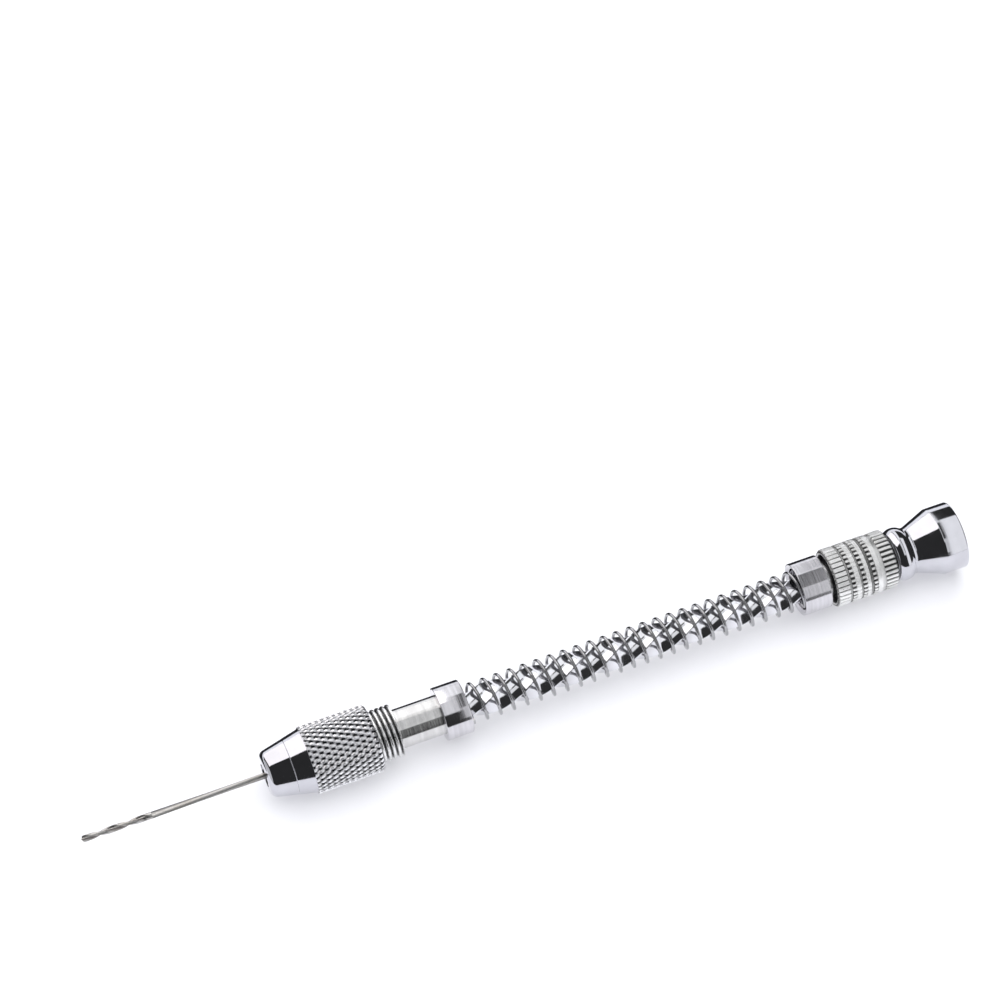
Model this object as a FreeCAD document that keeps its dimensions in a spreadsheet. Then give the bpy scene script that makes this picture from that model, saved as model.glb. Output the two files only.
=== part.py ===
import FreeCAD, Part
import math
import os
import re

import Sketcher

# Push drill with a collet chuck, lying on its side, millimetres.
# The axis of the tool is X and +X points to the end cap. The origin is on the axis, in the
# middle of the cap's flat rear face. Everything else is stacked forward from that face.

NAME = "push_drill"

SIZES = {
    # end cap, from its rear face forward
    "cap_radius": 5.0,
    "cap_rim_length": 3.35,
    "cap_rim_chamfer": 0.15,
    "cap_cone_length": 3.9,
    "cap_neck_radius": 3.5,
    "cap_neck_length": 0.5,
    "cap_bead_length": 2.6,
    "cap_bead_radius": 4.0,
    "cap_end_wall": 2.18,
    "bush_wall": 1.15,
    "bush_length": 3.8,
    "bush_inset": 0.3,
    "ball_radius": 1.2,
    "ball_seat_depth": 1.9,
    # slider: knurled sleeve, its rear ring and the drive nut
    "sleeve_gap": 0.4,
    "sleeve_wall": 1.1,
    "rear_ring_length": 2.1,
    "rear_ring_chamfer": 0.25,
    "ring_spigot_length": 1.75,
    "ring_hole_gap": 0.15,
    "drive_nut_shoulder": 0.55,
    "drive_nut_length": 4.3,
    "boss_wall": 0.3,
    "sleeve_recess_step": 0.8,
    "sleeve_recess_depth": 0.8,
    "knurl_depth": 0.25,
    "knurl_half_width": 0.24,
    "band_front": 1.95,
    "band_pads": 1.3,
    "band_last": 1.4,
    "groove_front": 0.45,
    "groove_fine": 0.25,
    "groove_ring": 0.4,
    "groove_rear": 0.55,
    "groove_depth": 0.32,
    # spring and its two stops
    "seat_gap": 0.8,
    "seat_wall": 0.8,
    "seat_length": 4.2,
    "seat_cup_depth": 2.25,
    "thrust_washer_thickness": 0.3,
    "thrust_washer_width": 0.5,
    "spring_span": 51.5,
    "spring_inner_gap": 0.17,
    "spring_outer_gap": 0.15,
    "spring_wire_radius": 0.24,
    "spring_pitch": 2.05,
    "collar_wall": 1.05,
    "collar_length": 3.92,
    "collar_chamfer": 0.12,
    # twisted rod
    "bar_half_width": 1.7,
    "bar_corner": 0.08,
    "twist_lead": 24.9,
    "twist_phase": 36.5,
    "spigot_shoulder": 0.1,
    "spigot_length": 8.0,
    "tail_shoulder": 0.25,
    "tail_groove_depth": 0.3,
    "stop_washer_lap": 0.4,
    "stop_washer_thickness": 0.55,
    "tail_washer_width": 0.85,
    "tail_washer_thickness": 0.3,
    "clip_width": 0.7,
    "clip_thickness": 0.4,
    "clip_mouth": 1.5,
    # chuck
    "shaft_radius": 2.9,
    "shaft_length": 6.48,
    "thread_radius": 3.85,
    "thread_depth": 0.4,
    "thread_pitch": 0.75,
    "thread_shown": 3.5,
    "thread_hidden": 9.15,
    "cross_pin_radius": 0.5,
    "nut_radius": 5.0,
    "nut_length": 10.0,
    "nut_chamfer": 0.35,
    "nut_step": 0.25,
    "nose_length": 6.4,
    "nose_cone_length": 5.3,
    "nose_radius": 3.5,
    "nose_face_radius": 2.25,
    "nose_round": 1.35,
    "collet_inset": 0.25,
    "collet_tip_radius": 1.55,
    "collet_head_radius": 3.15,
    "collet_cone_length": 4.6,
    "collet_band_length": 1.2,
    "collet_shoulder_length": 0.35,
    "collet_shank_radius": 2.4,
    "collet_shank_length": 12.35,
    "collet_relief_radius": 1.2,
    "collet_jaw_length": 6.0,
    "collet_slot_width": 0.5,
    "collet_slot_length": 14.0,
    # drill bit
    "bit_radius": 0.5,
    "bit_length": 34.0,
    "bit_reach": 27.2,
    "flute_length": 10.2,
    "flute_lead": 8.0,
    "land_half_height": 0.28,
    "flute_round": 0.68,
    "point_length": 0.3,
    # fits
    "press_gap": 0.01,
    "running_gap": 0.05,
    "slide_gap": 0.1,
    "twist_gap": 0.06,
    "contact_gap": 0.03,
}
KNURL_TEETH = 36
LEFT_HAND = 1
RIGHT_HAND = 0

# Places along the axis, each worked out from the one behind it.
CAP_FRONT = "-(cap_rim_length + cap_cone_length + cap_neck_length + cap_bead_length)"
SLEEVE_REAR = f"({CAP_FRONT} - sleeve_gap)"
RING_FRONT = f"({SLEEVE_REAR} - rear_ring_length)"
SLEEVE_LENGTH = (
    "(band_front + groove_front + 2 * band_pads + groove_fine + groove_ring + band_last"
    " + groove_rear)"
)
SLEEVE_FRONT = f"({RING_FRONT} - {SLEEVE_LENGTH})"
SEAT_REAR = f"({SLEEVE_FRONT} - seat_gap)"
SEAT_FRONT = f"({SEAT_REAR} - seat_length)"
COLLAR_REAR = f"({SEAT_FRONT} - spring_span)"
COLLAR_FRONT = f"({COLLAR_REAR} - collar_length)"
THREAD_REAR = f"({COLLAR_FRONT} - shaft_length)"
NUT_REAR = f"({THREAD_REAR} - thread_shown)"
BODY_FRONT = f"({NUT_REAR} - thread_hidden)"
NUT_FRONT = f"({NUT_REAR} - nut_length)"
NOSE_FRONT = f"({NUT_FRONT} - nose_length)"
COLLET_FRONT = f"({NOSE_FRONT} + collet_inset)"
BIT_TIP = f"({NOSE_FRONT} - bit_reach)"
STOP_REAR = f"({CAP_FRONT} - slide_gap)"
STOP_FRONT = f"({STOP_REAR} - stop_washer_thickness)"
BUSH_FRONT = f"({CAP_FRONT} + bush_inset)"
BUSH_REAR = f"({BUSH_FRONT} + bush_length)"
TAIL_WASHER_FRONT = f"({BUSH_REAR} + running_gap)"
CLIP_FRONT = f"({TAIL_WASHER_FRONT} + tail_washer_thickness)"
BALL_CENTRE = "-(cap_end_wall + press_gap + ball_radius)"
TAIL_END = "-(cap_end_wall + 2 * press_gap + 2 * ball_radius)"
NUT_BODY_FRONT = f"({RING_FRONT} - ring_spigot_length - drive_nut_length)"
BOSS_FRONT = f"({SEAT_REAR} + thrust_washer_thickness + contact_gap)"
COLLET_LENGTH = (
    "(collet_cone_length + collet_band_length + collet_shoulder_length + collet_shank_length)"
)

# Radii, each worked out from the bar that runs through them.
ROD_REACH = "sqrt(bar_half_width ^ 2 + (bar_half_width - bar_corner) ^ 2)"
ROD_CLEARANCE = f"({ROD_REACH} + slide_gap)"
SPRING_RADIUS = f"({ROD_REACH} + spring_inner_gap + 2 * spring_wire_radius)"
SEAT_CUP_RADIUS = f"({SPRING_RADIUS} + spring_outer_gap)"
SEAT_RADIUS = f"({SEAT_CUP_RADIUS} + seat_wall)"
THRUST_WASHER_RADIUS = f"({ROD_CLEARANCE} + thrust_washer_width)"
BOSS_RADIUS = f"({ROD_CLEARANCE} + boss_wall)"
DRIVE_NUT_RADIUS = f"({BOSS_RADIUS} + drive_nut_shoulder)"
SLEEVE_RECESS_RADIUS = f"({BOSS_RADIUS} + sleeve_recess_step)"
SLEEVE_RADIUS = f"({DRIVE_NUT_RADIUS} + sleeve_wall)"
RING_HOLE_RADIUS = f"({ROD_REACH} + ring_hole_gap)"
STOP_WASHER_RADIUS = f"({RING_HOLE_RADIUS} + stop_washer_lap)"
TAIL_RADIUS = "(bar_half_width - tail_shoulder)"
TAIL_GROOVE_RADIUS = f"({TAIL_RADIUS} - tail_groove_depth)"
TAIL_WASHER_RADIUS = f"({TAIL_RADIUS} + tail_washer_width)"
CLIP_RADIUS = f"({TAIL_RADIUS} + clip_width)"
BUSH_RADIUS = f"({TAIL_RADIUS} + bush_wall)"
SPIGOT_RADIUS = "(bar_half_width - spigot_shoulder)"
COLLAR_RADIUS = "(shaft_radius + collar_wall)"

doc = FreeCAD.newDocument(NAME)
sheet = doc.addObject("Spreadsheet::Sheet", "Sizes")
for row, (alias, value) in enumerate(SIZES.items(), start=1):
    sheet.set(f"A{row}", alias)
    sheet.set(f"B{row}", str(value))
    sheet.setAlias(f"B{row}", alias)
doc.recompute()

parts = []


def bound(text):
    """The same formula with every size named as a cell of the sheet."""
    return re.sub(r"[a-z]\w*", lambda word: f"Sizes.{word[0]}" if word[0] in SIZES else word[0], text)


def size(text):
    """What a formula comes to with the sheet's present values."""
    return float(sheet.evalExpression(bound(text)))


def bind(thing, prop, text):
    """Tie one property to a formula of the sheet."""
    thing.setExpression(prop, bound(text))


def new_body(label, station):
    """An empty body whose own X = 0 lies at a place on the tool's axis."""
    body = doc.addObject("PartDesign::Body", label)
    body.Label = label
    body.Placement = FreeCAD.Placement(FreeCAD.Vector(size(station), 0, 0), FreeCAD.Rotation())
    bind(body, "Placement.Base.x", station)
    parts.append(body)
    return body


def origin_plane(body, role):
    return next(item for item in body.Origin.OriginFeatures if item.Role == role)


def new_sketch(body, name, role):
    sketch = body.newObject("Sketcher::SketchObject", f"{body.Name}_{name}")
    sketch.AttachmentSupport = [(origin_plane(body, role), "")]
    sketch.MapMode = "FlatFace"
    return sketch


def place_point(sketch, edge, end, point):
    """Fix one end of an edge at a pair of formulas, measured from the sketch's origin."""
    for kind, axis, text in (("DistanceX", -2, point[0]), ("DistanceY", -1, point[1])):
        if text == "0":
            sketch.addConstraint(Sketcher.Constraint("PointOnObject", edge, end, axis))
            continue
        made = sketch.addConstraint(Sketcher.Constraint(kind, -1, 1, edge, end, size(text)))
        bind(sketch, f"Constraints[{made}]", text)


def arc_between(start, finish, radius):
    """Arc, kept anticlockwise; a positive radius has its centre to the right of start to finish."""
    chord = finish - start
    half = chord.Length / 2
    right = FreeCAD.Vector(chord.y, -chord.x, 0).normalize()
    depth = math.sqrt(radius * radius - half * half)
    if radius > 0:
        crown = (start + finish) / 2 + right * (depth - radius)
        return Part.Arc(finish, crown, start)
    crown = (start + finish) / 2 - right * (depth + radius)
    return Part.Arc(start, crown, finish)


def add_outline(sketch, points):
    """Close an outline; a point may carry a third formula, the radius of the arc that leaves it."""
    corners = [FreeCAD.Vector(size(point[0]), size(point[1]), 0) for point in points]
    first = sketch.GeometryCount
    ends = []
    for number, point in enumerate(points):
        start = corners[number]
        finish = corners[(number + 1) % len(points)]
        if len(point) == 3:
            sketch.addGeometry(arc_between(start, finish, size(point[2])), False)
            ends.append((2, 1) if size(point[2]) > 0 else (1, 2))
        else:
            sketch.addGeometry(Part.LineSegment(start, finish), False)
            ends.append((1, 2))
    for number, point in enumerate(points):
        edge = first + number
        after = (number + 1) % len(points)
        joined = (edge, ends[number][1], first + after, ends[after][0])
        sketch.addConstraint(Sketcher.Constraint("Coincident", *joined))
        place_point(sketch, edge, ends[number][0], point)
        if len(point) == 3:
            radius = point[2].lstrip("-")
            made = sketch.addConstraint(Sketcher.Constraint("Radius", edge, size(radius)))
            bind(sketch, f"Constraints[{made}]", radius)


def revolve(body, name, outlines, kind="PartDesign::Revolution"):
    """Turn one or more outlines of (along, out) points about the tool's axis."""
    sketch = new_sketch(body, f"{name}_outline", "XZ_Plane")
    for points in outlines:
        add_outline(sketch, points)
    feature = body.newObject(kind, f"{body.Name}_{name}")
    feature.Profile = sketch
    feature.ReferenceAxis = (sketch, ["H_Axis"])
    feature.Angle = 360
    return feature


def turned(label, station, points):
    """A body made by turning one outline."""
    body = new_body(label, station)
    revolve(body, "turned", [points])
    return body


def ring(label, station, length, outer, inner, chamfer="0"):
    """A plain ring with the outer edges broken when a chamfer is given."""
    points = [("0", inner), (length, inner)]
    if chamfer == "0":
        points += [(length, outer), ("0", outer)]
    else:
        points += [
            (length, f"{outer} - {chamfer}"),
            (f"{length} - {chamfer}", outer),
            (chamfer, outer),
            ("0", f"{outer} - {chamfer}"),
        ]
    return turned(label, station, points)


def twisted(body, name, section, length, lead, hand, kind="PartDesign::AdditivePipe", phase="0"):
    """Sweep a section along the body's X axis while it turns once in each lead."""
    profile = new_sketch(body, f"{name}_section", "YZ_Plane")
    if phase != "0":
        turn = FreeCAD.Rotation(FreeCAD.Vector(0, 0, 1), size(phase))
        profile.AttachmentOffset = FreeCAD.Placement(FreeCAD.Vector(0, 0, 0), turn)
        bind(profile, "AttachmentOffset.Rotation.Angle", phase)
    add_outline(profile, section)
    spine = new_sketch(body, f"{name}_spine", "XZ_Plane")
    spine.addGeometry(Part.LineSegment(FreeCAD.Vector(0, 0, 0), FreeCAD.Vector(size(length), 0, 0)), False)
    place_point(spine, 0, 1, ("0", "0"))
    place_point(spine, 0, 2, (length, "0"))
    guide = doc.addObject("Part::Helix", f"{body.Name}_{name}_guide")
    guide.Placement = FreeCAD.Placement(FreeCAD.Vector(0, 0, 0), FreeCAD.Rotation(FreeCAD.Vector(0, 1, 0), 90))
    guide.LocalCoord = hand
    guide.Radius = size("2 * nut_radius")
    guide.Pitch = size(lead)
    guide.Height = size(length)
    bind(guide, "Pitch", lead)
    bind(guide, "Height", length)
    doc.recompute()
    pipe = body.newObject(kind, f"{body.Name}_{name}")
    pipe.Profile = profile
    pipe.Spine = (spine, ["Edge1"])
    pipe.Mode = "Auxiliary"
    pipe.AuxiliarySpine = (guide, ["Edge1"])
    return pipe


def square_section(half, corner):
    """Square with small flats on its corners."""
    short = f"{half} - {corner}"
    return [
        (half, f"-({short})"),
        (half, short),
        (short, half),
        (f"-({short})", half),
        (f"-({half})", short),
        (f"-({half})", f"-({short})"),
        (f"-({short})", f"-({half})"),
        (short, f"-({half})"),
    ]


def bored_across(body, along, radius):
    """A round hole straight through the axis, at a distance along the body."""
    sketch = new_sketch(body, "cross_hole", "XY_Plane")
    centre = FreeCAD.Vector(size(along), 0, 0)
    sketch.addGeometry(Part.Circle(centre, FreeCAD.Vector(0, 0, 1), size(radius)), False)
    place_point(sketch, 0, 3, (along, "0"))
    made = sketch.addConstraint(Sketcher.Constraint("Radius", 0, size(radius)))
    bind(sketch, f"Constraints[{made}]", radius)
    hole = body.newObject("PartDesign::Pocket", f"{body.Name}_cross_hole")
    hole.Profile = sketch
    hole.Type = "ThroughAll"
    hole.Midplane = True
    return hole


def end_cap():
    """Swivelling palm rest: round bead, neck, cone and a plain rim, bored from the front."""
    length = f"(-{CAP_FRONT})"
    neck = "(cap_bead_length + cap_neck_length)"
    rim = f"({length} - cap_rim_length)"
    seat = f"({length} - cap_end_wall - ball_seat_depth)"
    rise = "(cap_bead_radius - cap_neck_radius)"
    bead_round = f"((cap_bead_length / 2) ^ 2 + {rise} ^ 2) / (2 * {rise})"
    return turned("end_cap", CAP_FRONT, [
        ("0", f"{BUSH_RADIUS} + press_gap"),
        ("0", "cap_neck_radius", bead_round),
        ("cap_bead_length", "cap_neck_radius"),
        (neck, "cap_neck_radius"),
        (rim, "cap_radius"),
        (f"{length} - cap_rim_chamfer", "cap_radius"),
        (length, "cap_radius - cap_rim_chamfer"),
        (length, "0"),
        (f"{length} - cap_end_wall", "0"),
        (f"{length} - cap_end_wall", "ball_radius + running_gap"),
        (seat, "ball_radius + running_gap"),
        (seat, f"{BUSH_RADIUS} + press_gap"),
    ])


def cap_bush():
    """Bearing bush for the rod's tail, pressed into the cap."""
    return ring("cap_bush", BUSH_FRONT, "bush_length", BUSH_RADIUS, f"{TAIL_RADIUS} + running_gap")


def thrust_ball():
    """Steel ball that takes the push of the palm."""
    label = "thrust_ball"
    ball = doc.addObject("Part::Sphere", label)
    ball.Label = label
    ball.Placement = FreeCAD.Placement(FreeCAD.Vector(size(BALL_CENTRE), 0, 0), FreeCAD.Rotation())
    bind(ball, "Radius", "ball_radius")
    bind(ball, "Placement.Base.x", BALL_CENTRE)
    parts.append(ball)
    return ball


def twisted_rod():
    """Square bar twisted left-handed, with a round spigot in front and a round tail behind."""
    twist_length = f"({STOP_FRONT} - {COLLAR_REAR})"
    body = new_body("twisted_rod", COLLAR_REAR)
    twisted(body, "twist", square_section("bar_half_width", "bar_corner"), twist_length,
            "twist_lead", LEFT_HAND, phase="twist_phase")
    revolve(body, "spigot", [[
        ("-spigot_length", "0"),
        ("-spigot_length", SPIGOT_RADIUS),
        ("0", SPIGOT_RADIUS),
        ("0", "0"),
    ]])
    groove_front = f"({CLIP_FRONT} - {COLLAR_REAR})"
    groove_rear = f"({groove_front} + clip_thickness + press_gap)"
    end = f"({TAIL_END} - {COLLAR_REAR})"
    revolve(body, "tail", [[
        (twist_length, "0"),
        (twist_length, TAIL_RADIUS),
        (groove_front, TAIL_RADIUS),
        (groove_front, TAIL_GROOVE_RADIUS),
        (groove_rear, TAIL_GROOVE_RADIUS),
        (groove_rear, TAIL_RADIUS),
        (end, TAIL_RADIUS),
        (end, "0"),
    ]])
    bored_across(body, "-collar_length / 2", "cross_pin_radius + press_gap")
    return body


def stop_washer():
    """Hard washer on the rod's shoulder; the spring pushes the slider back against it."""
    return ring("stop_washer", STOP_FRONT, "stop_washer_thickness", STOP_WASHER_RADIUS,
                f"{TAIL_RADIUS} + press_gap")


def tail_washer():
    """Washer between the bush and the clip."""
    return ring("tail_washer", TAIL_WASHER_FRONT, "tail_washer_thickness", TAIL_WASHER_RADIUS,
                f"{TAIL_RADIUS} + press_gap")


def tail_clip():
    """Open retaining clip in the tail's groove."""
    body = ring("tail_clip", CLIP_FRONT, "clip_thickness", CLIP_RADIUS,
                f"{TAIL_GROOVE_RADIUS} + press_gap")
    sketch = new_sketch(body, "mouth", "YZ_Plane")
    add_outline(sketch, [
        ("-clip_mouth / 2", "0"),
        ("clip_mouth / 2", "0"),
        ("clip_mouth / 2", f"2 * {CLIP_RADIUS}"),
        ("-clip_mouth / 2", f"2 * {CLIP_RADIUS}"),
    ])
    mouth = body.newObject("PartDesign::Pocket", "tail_clip_mouth")
    mouth.Profile = sketch
    mouth.Type = "ThroughAll"
    mouth.Midplane = True
    return body


def knurl(body, length):
    """Straight knurl: one vee groove along the axis, repeated round the circumference."""
    sketch = new_sketch(body, "knurl_vee", "YZ_Plane")
    add_outline(sketch, [
        ("-2 * knurl_half_width", f"{SLEEVE_RADIUS} + knurl_depth"),
        ("0", f"{SLEEVE_RADIUS} - knurl_depth"),
        ("2 * knurl_half_width", f"{SLEEVE_RADIUS} + knurl_depth"),
    ])
    vee = body.newObject("PartDesign::Pocket", f"{body.Name}_knurl")
    vee.Profile = sketch
    vee.Reversed = True
    bind(vee, "Length", length)
    teeth = body.newObject("PartDesign::PolarPattern", f"{body.Name}_knurl_round")
    teeth.Originals = [vee]
    teeth.Axis = (sketch, ["N_Axis"])
    teeth.Angle = 360
    teeth.Occurrences = KNURL_TEETH
    body.Tip = teeth
    return teeth


def grip_sleeve():
    """Slider shell with bands of straight knurl and turned grooves between them."""
    lip = f"({NUT_BODY_FRONT} - {SLEEVE_FRONT})"
    body = turned("grip_sleeve", SLEEVE_FRONT, [
        ("0", SLEEVE_RECESS_RADIUS),
        ("0", f"{SLEEVE_RADIUS} - rear_ring_chamfer"),
        ("rear_ring_chamfer", SLEEVE_RADIUS),
        (SLEEVE_LENGTH, SLEEVE_RADIUS),
        (SLEEVE_LENGTH, f"{DRIVE_NUT_RADIUS} + press_gap"),
        (lip, f"{DRIVE_NUT_RADIUS} + press_gap"),
        (lip, f"{BOSS_RADIUS} + slide_gap"),
        ("sleeve_recess_depth", f"{BOSS_RADIUS} + slide_gap"),
        ("sleeve_recess_depth", SLEEVE_RECESS_RADIUS),
    ])
    knurl(body, SLEEVE_LENGTH)
    bands = [
        ("band_front", "groove_front"),
        ("band_pads", "groove_fine"),
        ("band_pads", "groove_ring"),
        # The last groove is open to the rear ring, so its cut runs past the sleeve's end.
        ("band_last", "groove_rear + groove_depth"),
    ]
    reach = f"{SLEEVE_RADIUS} + groove_depth"
    floor = f"{SLEEVE_RADIUS} - groove_depth"
    start = "0"
    grooves = []
    for band, groove in bands:
        front = f"{start} + {band}"
        rear = f"{front} + {groove}"
        grooves.append([(front, floor), (rear, floor), (rear, reach), (front, reach)])
        start = rear
    revolve(body, "grooves", grooves, "PartDesign::Groove")
    return body


def sleeve_rear_ring():
    """Knurled ring whose spigot screws into the sleeve and holds the drive nut."""
    spigot = "(ring_spigot_length - running_gap)"
    total = f"({spigot} + rear_ring_length)"
    recess = f"({STOP_FRONT} - contact_gap - {RING_FRONT} + {spigot})"
    body = turned("sleeve_rear_ring", f"{RING_FRONT} - {spigot}", [
        ("0", RING_HOLE_RADIUS),
        ("0", DRIVE_NUT_RADIUS),
        (spigot, DRIVE_NUT_RADIUS),
        (spigot, SLEEVE_RADIUS),
        (f"{total} - rear_ring_chamfer", SLEEVE_RADIUS),
        (total, f"{SLEEVE_RADIUS} - rear_ring_chamfer"),
        (total, f"{STOP_WASHER_RADIUS} + 2 * slide_gap"),
        (recess, f"{STOP_WASHER_RADIUS} + 2 * slide_gap"),
        (recess, RING_HOLE_RADIUS),
    ])
    knurl(body, total)
    return body


def drive_nut():
    """Brass nut with a boss in front; its hole is the rod's section with a running gap."""
    body = new_body("drive_nut", COLLAR_REAR)
    boss = f"({BOSS_FRONT} - {COLLAR_REAR})"
    shoulder = f"({NUT_BODY_FRONT} - {COLLAR_REAR})"
    rear = f"({shoulder} + drive_nut_length)"
    revolve(body, "turned", [[
        (boss, "0"),
        (boss, BOSS_RADIUS),
        (shoulder, BOSS_RADIUS),
        (shoulder, DRIVE_NUT_RADIUS),
        (rear, DRIVE_NUT_RADIUS),
        (rear, "0"),
    ]])
    twisted(body, "hole", square_section("(bar_half_width + twist_gap)", "bar_corner"),
            f"{rear} + drive_nut_length", "twist_lead", LEFT_HAND, "PartDesign::SubtractivePipe",
            "twist_phase")
    return body


def thrust_washer():
    """Bright washer between the spring's cup ring and the drive nut's boss."""
    return ring("thrust_washer", SEAT_REAR, "thrust_washer_thickness", THRUST_WASHER_RADIUS,
                ROD_CLEARANCE)


def spring_seat_ring():
    """Cup ring that slides on the rod and carries the rear end of the spring."""
    return turned("spring_seat_ring", SEAT_FRONT, [
        ("0", SEAT_CUP_RADIUS),
        ("0", f"{SEAT_RADIUS} - collar_chamfer"),
        ("collar_chamfer", SEAT_RADIUS),
        ("seat_length - collar_chamfer", SEAT_RADIUS),
        ("seat_length", f"{SEAT_RADIUS} - collar_chamfer"),
        ("seat_length", ROD_CLEARANCE),
        ("seat_cup_depth", ROD_CLEARANCE),
        ("seat_cup_depth", SEAT_CUP_RADIUS),
    ])


def return_spring():
    """Open-coiled right-hand spring from the front collar to the bottom of the cup."""
    body = new_body("return_spring", f"{COLLAR_REAR} + contact_gap")
    sketch = new_sketch(body, "wire", "XZ_Plane")
    centre = FreeCAD.Vector(size("spring_wire_radius"), size(f"{SPRING_RADIUS} - spring_wire_radius"), 0)
    up = FreeCAD.Vector(0, 0, 1)
    sketch.addGeometry(Part.Circle(centre, up, size("spring_wire_radius")), False)
    place_point(sketch, 0, 3, ("spring_wire_radius", f"{SPRING_RADIUS} - spring_wire_radius"))
    made = sketch.addConstraint(Sketcher.Constraint("Radius", 0, size("spring_wire_radius")))
    bind(sketch, f"Constraints[{made}]", "spring_wire_radius")
    coil = body.newObject("PartDesign::AdditiveHelix", "return_spring_coil")
    coil.Profile = sketch
    coil.ReferenceAxis = (sketch, ["H_Axis"])
    coil.Mode = 0
    bind(coil, "Pitch", "spring_pitch")
    bind(coil, "Height", "spring_span + seat_cup_depth - 2 * contact_gap - 2 * spring_wire_radius")
    return body


def front_collar():
    """Stop ring pressed on the shaft; it covers the cross pin."""
    return ring("front_collar", COLLAR_FRONT, "collar_length", COLLAR_RADIUS,
                "shaft_radius + press_gap", "collar_chamfer")


def rod_cross_pin():
    """Pin that keys the rod to the chuck body."""
    label = "rod_cross_pin"
    pin = doc.addObject("Part::Cylinder", label)
    pin.Label = label
    middle = f"{COLLAR_REAR} - collar_length / 2"
    foot = FreeCAD.Vector(size(middle), 0, size("-shaft_radius + slide_gap"))
    pin.Placement = FreeCAD.Placement(foot, FreeCAD.Rotation())
    bind(pin, "Radius", "cross_pin_radius")
    bind(pin, "Height", "2 * shaft_radius - 2 * slide_gap")
    bind(pin, "Placement.Base.x", middle)
    bind(pin, "Placement.Base.z", "-shaft_radius + slide_gap")
    parts.append(pin)
    return pin


def chuck_body():
    """Threaded front, plain shaft behind, bored for the collet and for the rod's spigot."""
    rings = int(size("(thread_shown + thread_hidden) / thread_pitch"))
    shoulder = f"({THREAD_REAR} - {BODY_FRONT})"
    end = f"({COLLAR_REAR} - {BODY_FRONT})"
    collet_floor = f"({COLLET_FRONT} - {BODY_FRONT} + {COLLET_LENGTH} + contact_gap)"
    outline = [
        ("0", "collet_shank_radius + running_gap"),
        ("0", "thread_radius - thread_depth"),
    ]
    for turn in range(rings):
        outline += [
            (f"{turn + 0.35} * thread_pitch", "thread_radius"),
            (f"{turn + 0.65} * thread_pitch", "thread_radius"),
            (f"{turn + 1} * thread_pitch", "thread_radius - thread_depth"),
        ]
    outline += [
        (shoulder, "thread_radius - thread_depth"),
        (shoulder, "shaft_radius"),
        (end, "shaft_radius"),
        (end, f"{SPIGOT_RADIUS} + press_gap"),
        (f"{end} - spigot_length - contact_gap", f"{SPIGOT_RADIUS} + press_gap"),
        (f"{end} - spigot_length - contact_gap", "0"),
        (collet_floor, "0"),
        (collet_floor, "collet_shank_radius + running_gap"),
    ]
    body = turned("chuck_body", BODY_FRONT, outline)
    bored_across(body, f"{end} - collar_length / 2", "cross_pin_radius + press_gap")
    return body


def collet():
    """Split collet: conical head, short band, shank, and crossed slots that form four jaws."""
    band = "(collet_cone_length + collet_band_length)"
    shank = f"({band} + collet_shoulder_length)"
    body = turned("collet", COLLET_FRONT, [
        ("0", "bit_radius + press_gap"),
        ("0", "collet_tip_radius"),
        ("collet_cone_length", "collet_head_radius"),
        (band, "collet_head_radius"),
        (shank, "collet_shank_radius"),
        (COLLET_LENGTH, "collet_shank_radius"),
        (COLLET_LENGTH, "collet_relief_radius"),
        ("collet_jaw_length", "collet_relief_radius"),
        ("collet_jaw_length", "bit_radius + press_gap"),
    ])
    for number, role in enumerate(("XY_Plane", "XZ_Plane")):
        sketch = new_sketch(body, f"slot_{number}", role)
        add_outline(sketch, [
            ("-collet_slot_width", "-collet_slot_width / 2"),
            ("collet_slot_length", "-collet_slot_width / 2"),
            ("collet_slot_length", "collet_slot_width / 2"),
            ("-collet_slot_width", "collet_slot_width / 2"),
        ])
        slot = body.newObject("PartDesign::Pocket", f"collet_slot_{number}")
        slot.Profile = sketch
        slot.Type = "ThroughAll"
        slot.Midplane = True
    return body


def chuck_nut():
    """Closing nut: knurled barrel, a small step and a polished nose with the closing taper."""
    rear = "(nose_length + nut_length)"
    gap = "slide_gap"
    taper = "(collet_inset + collet_cone_length)"
    bore_front = f"({BODY_FRONT} - {NOSE_FRONT} - 2 * slide_gap)"
    return turned("chuck_nut", NOSE_FRONT, [
        ("0", f"collet_tip_radius + {gap}"),
        ("0", "nose_face_radius", "nose_round"),
        ("nose_length - nose_cone_length", "nose_radius"),
        ("nose_length", "nut_radius - nut_step"),
        ("nose_length", "nut_radius"),
        (f"{rear} - nut_chamfer", "nut_radius"),
        (rear, "nut_radius - nut_chamfer"),
        (rear, "thread_radius + running_gap"),
        (bore_front, "thread_radius + running_gap"),
        (bore_front, "collet_head_radius + running_gap"),
        (taper, "collet_head_radius + running_gap"),
        ("collet_inset", f"collet_tip_radius + {gap}"),
    ])


def drill_bit():
    """Twist drill: plain shank and two right-hand flutes up to a conical point."""
    body = new_body("drill_bit", BIT_TIP)
    land = "sqrt(bit_radius ^ 2 - land_half_height ^ 2)"
    twisted(body, "flutes", [
        (land, "-land_half_height", "-bit_radius"),
        (land, "land_half_height", "flute_round"),
        (f"-{land}", "land_half_height", "-bit_radius"),
        (f"-{land}", "-land_half_height", "flute_round"),
    ], "flute_length", "flute_lead", RIGHT_HAND)
    revolve(body, "shank", [[
        ("flute_length", "0"),
        ("flute_length", "bit_radius"),
        ("bit_length", "bit_radius"),
        ("bit_length", "0"),
    ]])
    revolve(body, "point", [[
        ("0", "0"),
        ("2 * point_length", "2 * bit_radius"),
        ("-point_length", "2 * bit_radius"),
        ("-point_length", "0"),
    ]], "PartDesign::Groove")
    return body


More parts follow.
